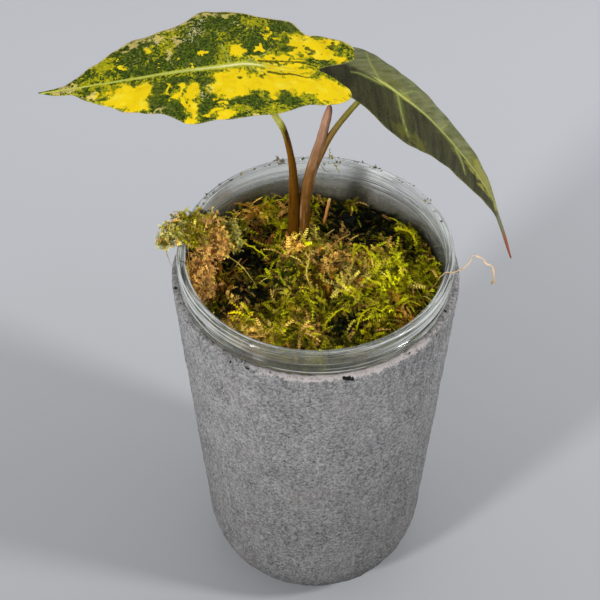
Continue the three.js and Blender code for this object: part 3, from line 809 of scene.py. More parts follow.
@dataclass(frozen=True)
class DarkLeafFinish:
    """A dark olive blade with a soft sheen, its far half painted lighter as painted sheen, pale green
    ribs and a reddish-brown drip tip.
    """

    # deep and grey make the near half, darker as painted shade; olive and dull make the far half, lighter
    # as painted sheen
    deep: Colour = linear(30, 30, 2)
    grey: Colour = linear(70, 72, 34)
    olive: Colour = linear(84, 88, 26)
    dull: Colour = linear(130, 134, 84)
    brown: Colour = linear(84, 74, 32)
    sunny: Colour = linear(108, 106, 20)
    golden: Colour = linear(146, 142, 44)
    glow: Colour = linear(132, 142, 72)
    vein: Colour = linear(156, 164, 78)
    heart: Colour = linear(206, 208, 104)
    stem: Colour = linear(112, 112, 78)
    tip: Colour = linear(150, 76, 44)
    under: Colour = linear(96, 92, 46)

    def paint(self) -> Material:
        """Lays the material.

        Returns:
            The material.
        """
        paint = Paint("dark_leaf")
        leaf = paint.vector("leaf")
        along, across = paint.axis(leaf, 0), paint.axis(leaf, 1)
        away = paint.node("ShaderNodeMath", {"operation": "ABSOLUTE"}, {0: across})
        lane = paint.joint(along - away * 0.55, across * 0.16)
        wide, mid = paint.speck(leaf, 7, 2), paint.speck(leaf, 1.9, 3)
        fine, dust = paint.speck(leaf, 0.7, 3), paint.speck(leaf, 0.35, 2)
        # painted sheen: light streaks along the side veins, and the far half painted lighter than the
        # near half
        streak = paint.speck(lane, 2.6, 3)
        far = across.rise(-1.2, 1.8)
        body = paint.mix(streak * 0.9 + wide * 0.3 + fine * 0.45 + 0.4, self.deep, self.grey)
        lighter = paint.mix(
            streak + wide * 0.4 + mid * 0.3 + fine * 0.3 + 0.5, self.olive, self.dull
        )
        body = paint.mix(far, body, lighter)
        speckle = (fine * 0.6 + dust * 0.6 + mid * 0.3).rise(0.12, 0.45)
        body = paint.mix(speckle * 0.45, body, self.brown)
        sunny = (paint.value("yellow") + mid * 0.3 + fine * 0.25 + streak * 0.2).rise(0.2, 0.9)
        body = paint.mix(sunny * 0.5, body, self.sunny)
        golden = (paint.value("golden") + mid * 0.25 + streak * 0.35).rise(0.2, 0.8)
        body = paint.mix(golden * 0.8, body, self.golden)
        halo = (paint.value("glow") + mid * 0.15).rise(0.1, 1.0)
        body = paint.mix(halo * 0.45, body, self.glow)
        line = paint.value("vein") + fine * 0.25 + dust * 0.15
        body = paint.mix(line.rise(0.15, 0.95) * 0.7, body, self.vein)
        rib, heart = paint.value("rib") + fine * 0.2, paint.value("heart")
        body = paint.mix(rib.rise(0.1, 0.9) * 0.75, body, self.vein)
        body = paint.mix(rib.rise(0.45, 1.0) * (0.2 + heart * 0.7), body, self.heart)
        edge = paint.value("edge") + mid * 0.5
        body = paint.mix(edge.rise(0.6, 1.0) * 0.25, body, self.golden)
        body = paint.mix(along.rise(59, 63), body, self.stem)
        body = paint.mix(along.rise(67, 73), body, self.tip)
        body = paint.mix(paint.value("under") * 0.7, body, self.under)
        relief = fine * 0.2 + mid * 0.2 + streak * 0.2 + (1 - paint.value("vein")) * 0.5 + 0.2
        return paint.finished(
            Base_Color=body, Roughness=0.5 + fine * 0.06, Specular_IOR_Level=0.25,
            Sheen_Weight=0.06, Sheen_Roughness=0.5, Normal=paint.bump(relief, 0.16, 0.8),
        )


@dataclass(frozen=True)
class BarkFinish:
    """A pale scrap of bark, or the pale brown skin of a rootstock."""

    name: str
    light: Colour
    dark: Colour

    def paint(self) -> Material:
        """Lays the material.

        Returns:
            The material.
        """
        paint = Paint(self.name)
        grain = paint.noise(paint.place((1, 3, 3)), 2.2, 4, 0.65)
        fleck = paint.cells(paint.place(), 0.9)
        body = paint.mix(grain.rise(0.3, 0.7), self.dark, self.light)
        body = paint.mix((1 - fleck.rise(0.1, 0.3)) * 0.6, body, self.dark)
        return paint.finished(
            Base_Color=body, Roughness=0.8, Normal=paint.bump(grain, 0.3, 0.7)
        )


# The pot and the cup


@dataclass
class StonePot:
    """The rough stone pot, turned, with a rounded heel and a worn and chipped top edge."""

    height: float = 145
    top_radius: float = 49.5
    taper: float = 0.085
    wall: float = 2.8
    foot_radius: float = 20
    heel_radius: float = 12
    heel_angle: float = 52
    belly_radius: float = 31
    floor: float = 5
    edge_wear: float = 0.9
    steps: int = 304
    row: float = 0.88
    chips: Sequence[tuple[float, float, float]] = (
        (9.2, -47.6, 0.75), (10.2, -47.9, 0.6), (11.3, -47.3, 0.85), (8.3, -47.0, 0.4),
        (12.2, -47.9, 0.45), (-47.9, -7.1, 0.85), (-48.2, -8.6, 0.4), (-28.4, -40.3, 0.45),
        (-26.4, -41.3, 0.4), (-23.6, -42.7, 0.5), (-22.6, -43.4, 0.5), (-20.9, -44.6, 0.4),
        (43.9, -17.9, 0.6), (31.2, -36.9, 0.4), (33.4, -35.6, 0.3), (47.4, -9.4, 0.4),
    )

    def outside(self) -> list[tuple[float, float]]:
        """The profile of the outside.

        Returns:
            Its corners, from the foot to just under the worn edge.
        """
        heel = arc((self.foot_radius, self.heel_radius), self.heel_radius, -90, -self.heel_angle, 12)
        end_r, end_z = heel[-1]
        turn, reach = math.radians(self.heel_angle), self.belly_radius
        centre = end_r - reach * math.cos(turn), end_z + reach * math.sin(turn)
        taper = math.degrees(math.atan(self.taper))
        belly = arc(centre, reach, -self.heel_angle, -taper, 30)
        edge = (self.top_radius - self.edge_wear * self.taper, self.height - self.edge_wear)
        return [*heel, *belly[1:], edge]

    def form(self) -> Form:
        """Turns the pot.

        Returns:
            The smooth pot, with its inside.
        """
        outside, wear, top = self.outside(), self.edge_wear, self.top_radius
        edge = [
            (top - wear * 0.7, self.height - wear * 0.2), (top - wear * 1.4, self.height),
            (top - self.wall, self.height),
        ]
        inside = [(max(r - self.wall, 1.0), max(z, self.floor)) for r, z in outside[::-4]]
        foot, wall = [(0, 0), (6, 0), (13, 0)], spaced([*outside, *edge], self.row)
        lining = [spaced(inside[:2], 14)[1:], inside[2:], [(0, self.floor)]]
        return turned(np.concatenate([foot, wall, *lining]), self.steps)

    def roughened(self, form: Form) -> Form:
        """Moves the outside in and out a little, and marks its worn edge and chips.

        Args:
            form: the smooth pot.

        Returns:
            The rough pot, with how `worn`, how chipped and how far `inside` each point is.
        """
        points = form.points
        x, y, z = points.T
        radius = np.maximum(np.hypot(x, y), 1e-6)
        outward = np.stack([x / radius, y / radius, np.zeros(len(points))], 1)
        rough = (
            0.1 * ripples(points, 17, 3) + 0.07 * ripples(points, 5, 4)
            + 0.13 * ripples(points, 2.1, 5)
        )
        rim = smooth(z, self.height - 2.2, self.height - 0.4)
        shown = smooth(z, 0.3, 3) * (radius > 20)
        points = points + outward * (rough * shown * (1 - 0.5 * rim) - 0.1 * rim)[:, None]
        points[:, 2] -= rim * 0.22 * (1 + ripples(points[:, :2], 4, 6))
        chip = np.zeros(len(points))
        for spot_x, spot_y, size in self.chips:
            away = np.hypot(x - spot_x, y - spot_y) / size
            chip = np.maximum(chip, np.exp(-0.7 * away**2) * smooth(z, 142.6, 144))
        points[:, 2] -= 0.5 * chip
        turn = np.degrees(np.arctan2(y, x))
        front = np.exp(-(((turn + 72) / 46) ** 2))
        worn = smooth(z + 0.35 * ripples(points, 6, 7), self.height - 1.2, self.height - 0.3)
        worn = worn * (0.3 + 0.6 * front)
        radii, heights = np.array(self.outside()).T
        depth = np.interp(z, heights, radii) - radius
        inner = smooth(depth, 1.6, 2.4) * (z < self.height - 0.3)
        return Form(points, form.faces, {"worn": worn, "chip": chip, "inside": inner})

    def build(self) -> None:
        """Makes the pot and sets it in place of its CAD node."""
        mesh = self.roughened(self.form()).mesh("stone_pot")
        set_in_place(mesh, StoneFinish().paint(), ["outer_pot"])


@dataclass
class ClearCup:
    """The clear cup: a rolled lip, a groove, a stacking ring on the pot's edge and a thin wall."""

    rim: float = 155
    lip_radius: float = 47.5
    mouth_radius: float = 44.4
    lip_depth: float = 4.6
    ring_radius: float = 47.1
    ring_foot: float = 145.3
    ring_depth: float = 3.2
    groove_radius: float = 46.3
    wall: float = 1.0
    wall_top_radius: float = 46
    wall_top: float = 145
    base_radius: float = 34
    base: float = 37
    base_thickness: float = 1.4
    steps: int = 240

    def wall_radius(self, z: float | Array) -> float | Array:
        """The outside radius of the wall at a height."""
        share = (z - self.base) / (self.wall_top - self.base)
        return self.base_radius + (self.wall_top_radius - self.base_radius) * share

    def profile(self) -> Array:
        """The cup's section.

        Returns:
            Rows of radius and height, from the middle of the base round to its inside.
        """
        top, lip, ring, foot = self.rim, self.lip_radius, self.ring_radius, self.ring_foot
        base, radius, groove, mouth = self.base, self.base_radius, self.groove_radius, self.mouth_radius
        head, floor, lip_foot = foot + self.ring_depth, base + self.base_thickness, top - self.lip_depth
        outside = [
            (0, base), (radius - 1.2, base), (radius, base + 1.2),
            (self.wall_radius(self.wall_top - 2), self.wall_top - 2), (self.wall_top_radius, foot),
            (ring - 0.15, foot), (ring, foot + 0.2), (ring, foot + 1.2), (ring - 0.12, foot + 1.5),
            (ring, foot + 1.9), (ring - 0.05, head - 0.2), (ring - 0.3, head),
            (groove, head + 0.4), (groove, lip_foot - 0.4), (lip - 0.25, lip_foot - 0.05),
            (lip, lip_foot + 0.25), (lip, lip_foot + 1.3), (lip - 0.1, lip_foot + 1.6),
            (lip, lip_foot + 1.9), *arc((lip - 1.3, top - 1.3), 1.3, 0, 90, 5),
        ]
        inner = [
            (mouth + 0.9, top - 0.02), (mouth + 0.3, top - 0.12), (mouth, top - 0.4),
            (mouth - 0.1, top - 1), (mouth + 0.2, lip_foot),
            (self.wall_radius(self.wall_top) - self.wall, self.wall_top),
            (self.wall_radius(floor) - self.wall, floor), (0, floor),
        ]
        return self.ridged(np.array([*outside, *inner]))

    def ridged(self, corners: Array) -> Array:
        """Adds the fine turned ridges of the lip and the ring to the section.

        Args:
            corners: the section's corners.

        Returns:
            The section, with close rows of points on its lip and ring.
        """
        rows = [corners[:1]]
        reached = 0.0
        for start, end in zip(corners, corners[1:]):
            way = end - start
            length = float(np.linalg.norm(way))
            if min(start[1], end[1]) < self.wall_top or length < 0.3:
                rows.append(end[None])
            else:
                share = np.linspace(0, 1, max(2, round(length / 0.22)) + 1)[1:]
                lane = reached + share * length
                ridge = 0.035 * np.sin(lane * 2 * np.pi / 1.1) + 0.02 * np.sin(lane * 9.7 + 1)
                ridge *= np.sin(np.pi * share) ** 0.5
                across = np.array([way[1], -way[0]]) / length
                rows.append(start + share[:, None] * way + ridge[:, None] * across)
            reached += length
        return np.concatenate(rows)

    def build(self) -> None:
        """Makes the cup and sets it in place of its CAD node."""
        mesh = turned(self.profile(), self.steps).mesh("cup")
        set_in_place(mesh, ClearFinish().paint(), ["clear_cup"])


# The moss


class Tone(Enum):
    """The colours of the moss, from the painted shade of its hollows to its driest tips."""

    # painted shade: a near-black tone for the deep hollows, where shade falls
    HOLLOW = linear(24, 30, 2)
    DEEP = linear(62, 72, 4)
    OLIVE = linear(150, 138, 18)
    LIME = linear(196, 192, 14)
    BRIGHT = linear(230, 224, 26)
    YELLOW = linear(246, 220, 18)
    CREAM = linear(232, 208, 96)
    TAN = linear(234, 186, 90)
    RUST = linear(180, 122, 40)
    DUST = linear(136, 128, 104)
    STRAW = linear(230, 178, 100)
    SAGE = linear(198, 190, 100)


TonePatch = tuple[Tone, float, float, float]
H, D, O, L = Tone.HOLLOW, Tone.DEEP, Tone.OLIVE, Tone.LIME
B, Y, C, T, R = Tone.BRIGHT, Tone.YELLOW, Tone.CREAM, Tone.TAN, Tone.RUST
W, S, G = Tone.DUST, Tone.STRAW, Tone.SAGE
PATCHES = (
    (O, -17, 33, 6.7), (T, -22, 31, 5.2), (C, -25, 28, 2.6), (T, -13, 34, 3.2), (L, -29, 25, 3),
    (L, -17, 36, 2.6), (H, -18, 21, 3.2), (R, -18, 18, 3), (L, -9, 23, 3.5), (B, -4, 19, 3.1),
    (D, -32, 22, 3.9), (H, -35, 9, 5.4), (H, -25, 9.5, 5.2), (H, -19, 7, 3.9), (H, -23, -8, 5.4),
    (D, -11, 0, 3.5), (L, -13, 15, 3.5), (T, -9, 11, 3.5), (O, -21, -1, 3.1), (R, -32, -2, 4.2),
    (T, -27, -12, 3.4), (H, -35, -15, 3.4), (O, -18, -15, 3.1), (O, -9, -16, 4.6), (C, -20, -24, 3),
    (T, -29, -19, 3), (L, -13, -27, 2.6), (Y, -24, -20, 2), (L, -12, -21, 3), (T, -18, -25, 3.8),
    (C, -22, -22, 2.3), (C, -14, -29, 3), (T, -2, -23, 4.2), (O, -5, -30, 3), (C, 1, 14, 3.9),
    (T, 10, 18, 4.3), (T, 5, 5, 4.7), (C, 10, -5, 2.7), (R, 1, -2, 3.1), (Y, -3, 0, 1.5),
    (L, 16, 14, 4.3), (T, 16, 8, 2.3), (C, 14, 0, 3.5), (B, 29, 1, 7.7), (B, 24, -9, 5), (L, 39, 7, 4.7),
    (H, 10, 26, 5.5), (H, 19, 32, 5.2), (H, 5, 35, 3.6), (H, 15, 17, 3.4), (H, 22, 22, 3),
    (D, 25, 22, 3.5), (D, 41, 19, 2.7), (H, 20, 15, 3.1), (O, 31, 27, 3), (H, 13, 30, 5.5),
    (H, 25, 29, 3.6), (H, 26, 20, 3), (H, 32, 14, 2.4), (L, 33, 22, 2.8), (T, 23, 11, 2.3),
    (O, 5, -14, 4.6), (H, 10, -21, 4.2), (O, 3, -30, 2.6), (O, 20, -21, 4.2), (B, 12, -10, 3.1),
    (R, 30, -15, 3.4), (H, 27, -22, 2.3), (H, -26, -30, 1.5), (L, 43, -2, 1.9), (O, -36, 27, 3.2),
)
# patches of moss painted lighter as painted light, and one under the variegated leaf painted darker as
# painted shade
PAINTED_LIGHT_AND_SHADE = {
    0.55: ((-22, 29, 9, 5), (-21, -22, 10, 5), (22, -25, 9, 5), (-6, 14, 5, 4)), 0.8: ((-17, 34, 9, 5),),
    -0.6: ((-24, 14, 5, 5),),
}
EVERYWHERE = {H: 0.1, D: 0.2, O: 0.3, L: 0.26, B: 0.06, C: 0.05, T: 0.16, R: 0.1}


def moss_tones(
    places: Array, patches: Sequence[TonePatch], everywhere: dict[Tone, float], seed: int
) -> tuple[Array, Array]:
    """Picks a tone for each place, mostly that of the patches it lies in.

    Args:
        places: rows of x and y.
        patches: the patches.
        everywhere: how strong each tone is outside the patches.
        seed: the seed of the picks.

    Returns:
        The linear colour at each place, and how dark a hollow it lies in, 0 to 1.
    """
    tones = list(Tone)
    weight = np.zeros((len(places), len(tones)))
    for tone, share in everywhere.items():
        weight[:, tones.index(tone)] = share
    for tone, x, y, reach in patches:
        away = np.hypot(places[:, 0] - x, places[:, 1] - y) / reach
        strong = 9.0 if tone is H else 4.2
        weight[:, tones.index(tone)] += strong * np.exp(-1.1 * away**2)
    weight /= weight.sum(1, keepdims=True)
    picks = np.random.default_rng(seed).random(len(places))
    chosen = (weight.cumsum(1) < picks[:, None]).sum(1).clip(0, len(tones) - 1)
    return np.array([tone.value for tone in tones])[chosen], weight[:, tones.index(H)]


def patch_field(patches: Sequence[Patch], along: Array, across: Array) -> Array:
    """How far inside the nearest of some oval fields each place lies.

    Args:
        patches: rows of the place along and across, the half length and the half width.
        along: the places along.
        across: the places across.

    Returns:
        1 in the middle of a field, 0.5 on its edge and 0 far from it.
    """
    share = np.zeros(len(along))
    for middle, aside, long, wide in patches:
        away = ((along - middle) / long) ** 2 + ((across - aside) / wide) ** 2
        share = np.maximum(share, np.exp(-0.693 * away))
    return share


@dataclass(frozen=True)
class Frond:
    """A moss frond: a thin curved stalk with small leaflets in pairs."""

    length: float
    curl: float
    width: float
    pairs: int = 7
    lift: float = 0.25
    whorl: float = 0.0
    blade: float = 0.25
    stalk: float = 0.17

    def form(self) -> Form:
        """Grows the frond from the origin, upwards and over towards +X.

        Returns:
            The form, with how far `tipward` each point is.
        """
        shares = np.linspace(0, 1, 3)
        bar = tube(self.line(shares), self.stalk * (1 - 0.6 * shares), 3)
        points, faces, tipward = [*bar.points], [*bar.faces], [*bar.values["along"]]
        for pair in range(self.pairs):
            share = (pair + 0.7) / self.pairs
            root, ahead = self.line(np.array([share, share + 0.02]))
            way = (ahead - root) / np.linalg.norm(ahead - root)
            reach = self.width * (0.55 + 0.45 * math.sin(math.pi * (0.2 + 0.75 * share)))
            roll, half = self.whorl * pair, reach * self.blade
            for sign in (-1, 1):
                side = np.array([0, sign, 0.0])
                aside = side * math.cos(roll) + np.cross(way, side) * math.sin(roll)
                up = np.cross(aside, way)
                out = way * 0.72 + aside * 0.8 + up * self.lift * sign
                out /= np.linalg.norm(out)
                flat = np.cross(out, up)
                start = len(points)
                belly = root + out * reach * 0.42 + up * 0.1
                points += [root, belly + flat * half, belly - flat * half, root + out * reach]
                for corners in ((0, 1, 2), (0, 2, 3), (0, 3, 1), (1, 3, 2)):
                    faces.append(tuple(start + corner for corner in corners))
                tipward += [share * 0.8, share, share, min(1.0, share + 0.35)]
        return Form(np.array(points), faces, {"tipward": np.array(tipward)})

    def line(self, shares: Array) -> Array:
        """Points along the stalk, which bends over evenly.

        Args:
            shares: shares of its length.

        Returns:
            The points.
        """
        turn = max(self.curl, 0.01) * shares
        arch = np.stack([1 - np.cos(turn), 0 * turn, np.sin(turn)], 1)
        return self.length / max(self.curl, 0.01) * arch


class FrondScatter(Tree):
    """A Geometry Nodes tree that grows fronds on a surface and makes them one plain mesh."""

    INPUTS = {
        "Geometry": "Geometry", "Density": "Float", "Seed": "Int", "Smallest": "Float",
        "Largest": "Float", "Least Lean": "Float", "Most Lean": "Float", "Fronds": "Collection",
        "Finish": "Material",
    }

    def __init__(self, fronds: Sequence[Frond]) -> None:
        """Makes the fronds and the tree.

        Args:
            fronds: the kinds of frond that are mixed.
        """
        self.kinds = bpy.data.collections.new("frond_kinds")
        for number, frond in enumerate(fronds):
            mesh = frond.form().mesh(f"frond_{number}")
            mesh.shade_flat()
            self.kinds.objects.link(bpy.data.objects.new(mesh.name, mesh))
        super().__init__(bpy.data.node_groups.new("frond_scatter", "GeometryNodeTree"))
        face = self.tree.interface
        self.sockets = {
            name: face.new_socket(name, in_out="INPUT", socket_type=f"NodeSocket{kind}").identifier
            for name, kind in self.INPUTS.items()
        }
        face.new_socket("Geometry", in_out="OUTPUT", socket_type="NodeSocketGeometry")
        self._lay()

    def _lay(self) -> None:
        """Lays the tree's nodes and links."""
        outputs = self.tree.nodes.new("NodeGroupInput").outputs
        given = {name: Shade(self, outputs[name]) for name in self.INPUTS}
        share = {"data_type": "FLOAT"}
        cover, vigour = (
            self.node("GeometryNodeInputNamedAttribute", share, {"Name": name}, "Attribute")
            for name in ("cover", "vigour")
        )
        points = self.node(
            "GeometryNodeDistributePointsOnFaces", None,
            {"Mesh": given["Geometry"], "Density": cover * given["Density"], "Seed": given["Seed"]},
            "Points",
        )
        spin, lean, size, pick, shade = (
            self.node(
                "FunctionNodeRandomValue", share,
                {"Min": low, "Max": high, "Seed": given["Seed"] + float(number)}, "Value",
            )
            for number, (low, high) in enumerate((
                (0.0, math.tau), (given["Least Lean"], given["Most Lean"]),
                (given["Smallest"], given["Largest"]), (0.0, 1000.0), (0.0, 1.0),
            ), 1)
        )
        rotation = Shade(self, points.socket.node.outputs["Rotation"])
        for way, angle in (("Z", spin), ("Y", lean)):
            angles = self.node("ShaderNodeCombineXYZ", None, {way: angle})
            turn = self.node("FunctionNodeEulerToRotation", None, {0: angles})
            rotation = self.node(
                "FunctionNodeRotateRotation", {"rotation_space": "LOCAL"},
                {"Rotation": rotation, "Rotate By": turn},
            )
        kinds = self.node(
            "GeometryNodeCollectionInfo", None,
            {"Collection": given["Fronds"], "Separate Children": True, "Reset Children": True},
        )
        grown = self.node("GeometryNodeInstanceOnPoints", None, {
            "Points": points, "Instance": kinds, "Pick Instance": True, "Instance Index": pick,
            "Rotation": rotation, "Scale": size * vigour,
        })
        shaded = self.node(
            "GeometryNodeStoreNamedAttribute", {**share, "domain": "INSTANCE"},
            {"Geometry": grown, "Name": "shade", "Value": shade},
        )
        real = self.node("GeometryNodeRealizeInstances", None, {0: shaded})
        painted = {"Geometry": real, "Material": given["Finish"]}
        self.end("NodeGroupOutput", self.node("GeometryNodeSetMaterial", None, painted))

    def grow(self, ground: Form, name: str, values: dict[str, Array], settings: dict) -> Mesh:
        """Grows fronds on a surface.

        Args:
            ground: the surface.
            name: the new mesh's name.
            values: for each face, its `tint`, how thick its `cover` is and the fronds' `vigour`.
            settings: values for the tree's inputs, by name.

        Returns:
            The plain mesh of the fronds.
        """
        bare = ground.mesh("ground")
        hold(bare, values, "FACE")
        host = bpy.data.objects.new("ground", bare)
        bpy.context.scene.collection.objects.link(host)
        modifier = host.modifiers.new("fronds", "NODES")
        modifier.node_group = self.tree
        for label, value in {**settings, "Fronds": self.kinds}.items():
            modifier[self.sockets[label]] = value
        graph = bpy.context.evaluated_depsgraph_get()
        mesh = bpy.data.meshes.new_from_object(
            host.evaluated_get(graph), preserve_all_data_layers=True, depsgraph=graph
        )
        mesh.name = name
        host.modifiers.remove(modifier)
        bpy.data.objects.remove(host)
        bpy.data.meshes.remove(bare)
        return mesh

    def close(self) -> None:
        """Removes the fronds that the tree copied and the tree."""
        for kind in list(self.kinds.objects):
            mesh = kind.data
            bpy.data.objects.remove(kind)
            bpy.data.meshes.remove(mesh)
        bpy.data.collections.remove(self.kinds)
        bpy.data.node_groups.remove(self.tree)


def move_points(mesh: Mesh, rule: Callable[[Array], Array]) -> None:
    """Moves a mesh's points by a rule.

    Args:
        mesh: the mesh.
        rule: gives the new points for the old ones, both in millimetres.
    """
    flat = np.zeros(len(mesh.vertices) * 3, np.float32)
    mesh.vertices.foreach_get("co", flat)
    moved = rule(flat.reshape(-1, 3).astype(float) / MM) * MM
    mesh.vertices.foreach_set("co", moved.astype(np.float32).ravel())
    mesh.update()


def face_centres(form: Form) -> Array:
    """The middle of each face of a form."""
    return np.array([form.points[list(face)].mean(0) for face in form.faces])


@dataclass
class MossBed:
    """The moss that fills the cup: a lumpy dome, grown over with fronds."""

    edge_height: float = 137
    dome: float = 7
    lumps: int = 120
    lumps_reach: float = 42
    seed: int = 7
    floor: float = 38.7
    rings: int = 66
    steps: int = 170
    fronds: int = 8150
    humps: Sequence[Patch] = ((-20, 29, 3.2, 90), (-4, 15.5, 4.2, 26))
    cup: ClearCup = field(default_factory=ClearCup)

    def __post_init__(self) -> None:
        """Draws the lumps as the solid moss has them, as rows of x, y, height and width."""
        state, step, full = self.seed, 0x6D2B79F5, 0xFFFFFFFF
        draws = []
        for _ in range(self.lumps * 4):
            state = (state + step) & full
            word = ((state ^ (state >> 15)) * (state | 1)) & full
            word ^= (word + ((word ^ (word >> 7)) * (word | 61) & full)) & full
            draws.append((word ^ (word >> 14)) / (full + 1))
        turn, reach, height, width = np.array(draws).reshape(-1, 4).T
        reach = np.sqrt(reach) * self.lumps_reach
        turn = turn * 2 * np.pi
        x, y = reach * np.cos(turn), reach * np.sin(turn)
        self.lump_rows = np.stack([x, y, 5.4 * height - 2.6, 2.6 * width + 1.8], 1)

    def height(self, x: Array, y: Array) -> Array:
        """The height of the moss.

        Args:
            x: places across.
            y: places from front to back.

        Returns:
            The height at each place.
        """
        radius = np.hypot(x, y)
        edge = self.cup.wall_radius(self.edge_height) - self.cup.wall
        fade = np.clip((edge - radius) / 5, 0, 1)
        lumpy = np.zeros(len(x))
        for lump_x, lump_y, tall, wide in self.lump_rows:
            away = (x - lump_x) ** 2 + (y - lump_y) ** 2
            lumpy += tall * np.exp(-away / (2 * wide**2))
        for tone, hollow_x, hollow_y, reach in PATCHES:
            if tone is H:
                away = ((x - hollow_x) ** 2 + (y - hollow_y) ** 2) / reach**2
                lumpy -= 2.1 * np.exp(-1.1 * away)
        return self.edge_height + self.dome * (1 - (radius / edge) ** 2) + fade * lumpy

    def body(self) -> Form:
        """Makes the whole filling.

        Returns:
            The form, with the colours and shades of its surface.
        """
        heights = np.linspace(self.floor, self.edge_height, 12)
        wall = [(self.cup.wall_radius(z) - self.cup.wall - 0.3, z) for z in heights]
        edge = wall[-1][0]
        top = [(edge * (1 - i / self.rings), self.edge_height) for i in range(1, self.rings)]
        profile = np.array([(0, self.floor), (12, self.floor), *wall, *top, (0, self.edge_height)])
        form = turned(profile, self.steps)
        points = form.points
        on_top = points[:, 2] > self.edge_height - 0.01
        x, y = points[on_top, 0], points[on_top, 1]
        uneven = 0.45 * ripples(points[on_top, :2], 1.9, 11) * (np.hypot(x, y) < edge - 0.6)
        points[on_top, 2] = self.height(x, y) + uneven - 0.5
        tint, hollow = moss_tones(points[:, :2], PATCHES, EVERYWHERE, 12)
        shade = np.random.default_rng(13).random(len(points)) * 0.5
        # painted shade: the moss surface is darker in the hollows
        form.values = {"tint": tint, "shade": shade, "tipward": 0.22 - 0.2 * hollow}
        return form

    @staticmethod
    def clearing(points: Array) -> Array:
        """How much grows at each place: little in front of the dry stub."""
        away = np.hypot(points[:, 0] - 2.5, (points[:, 1] - 22) / 1.5) / 3.2
        return np.clip(away, 0.12, 1)

    def mounds(self, points: Array) -> Array:
        """How high each place stands among the tufts round it, 0 in a dip to 1 on a tuft."""
        return np.clip(0.5 + 0.62 * ripples(points[:, :2], 7.5, 19), 0, 1)

    def top(self) -> Form:
        """Makes the upper surface alone, for fronds to grow on.

        Returns:
            The surface.
        """
        rings, count = 74, 190
        radii = np.linspace(0.8, 43, rings)
        turn = np.linspace(0, 2 * np.pi, count, endpoint=False)
        x = (radii[:, None] * np.cos(turn)).ravel()
        y = (radii[:, None] * np.sin(turn)).ravel()
        points = np.stack([x, y, self.height(x, y) - 0.4], 1)
        points[:, 2] += 1.6 * (self.mounds(points) - 0.6)
        for hump_x, hump_y, tall, wide in self.humps:
            points[:, 2] += tall * np.exp(-((x - hump_x) ** 2 + (y - hump_y) ** 2) / wide)
        faces = []
        for start in range(0, (rings - 1) * count, count):
            for j in range(count):
                a, b = start + j, start + (j + 1) % count
                faces.append((a, a + count, b + count, b))
        return Form(points, faces)

    def held_in(self, points: Array) -> Array:
        """Presses points back inside the cup's wall.

        Args:
            points: the points.

        Returns:
            The points, none of them in the wall.
        """
        cup = self.cup
        radius = np.maximum(np.hypot(points[:, 0], points[:, 1]), 1e-6)
        wall = cup.wall_radius(points[:, 2]) - cup.wall - 0.35
        limit = np.minimum(wall, cup.mouth_radius - 0.45)
        limit = np.where(points[:, 2] > cup.rim + 0.3, 1e3, limit)
        squeeze = np.minimum(1, limit / radius)
        return points * np.stack([squeeze, squeeze, np.ones(len(points))], 1)

    def build(self, scatter: FrondScatter, finish: Material) -> None:
        """Makes the filling and grows its fronds, a quarter of the way round at a time.

        Args:
            scatter: grows the fronds.
            finish: the moss.
        """
        set_in_place(self.body().mesh("moss_filling"), finish, ["moss_bed"])
        whole = self.top()
        middles = face_centres(whole)
        area = math.pi * (self.lumps_reach + 1) ** 2 * MM * MM
        quarter = np.floor(np.arctan2(middles[:, 1], middles[:, 0]) / (np.pi / 2)).astype(int)
        sides = {0: "back_right", 1: "back_left", -2: "front_left", -1: "front_right"}
        for number, side in sides.items():
            keep = quarter == number
            places = middles[keep]
            faces = [face for face, kept in zip(whole.faces, keep) if kept]
            tint, hollow = moss_tones(places[:, :2], PATCHES, EVERYWHERE, 15 + number)
            mound = self.mounds(places)
            # painted shade: darker in the dips between tufts and in the hollows, lighter on the tufts
            tint = tint * ((0.4 + 0.72 * mound) * (1 - 0.45 * hollow))[:, None]
            # painted light and painted shade on the moss, by patch
            for share, patches in PAINTED_LIGHT_AND_SHADE.items():
                tint = tint * (1 + patch_field(patches, *places[:, :2].T) * share)[:, None]
            cover = (0.55 + 0.45 * mound) * (1 - 0.35 * hollow) * self.clearing(places)
            vigour = (0.66 + 0.42 * mound) * (1 - 0.25 * hollow)
            mesh = scatter.grow(
                Form(whole.points, faces), f"moss_fronds_{side}",
                {"tint": tint, "cover": cover, "vigour": vigour},
                {
                    "Density": self.fronds / area, "Seed": 20 + number, "Smallest": 0.55,
                    "Largest": 1.15, "Least Lean": 0.25, "Most Lean": 1.35, "Finish": finish,
                },
            )
            move_points(mesh, self.held_in)
            set_in_place(mesh, finish)


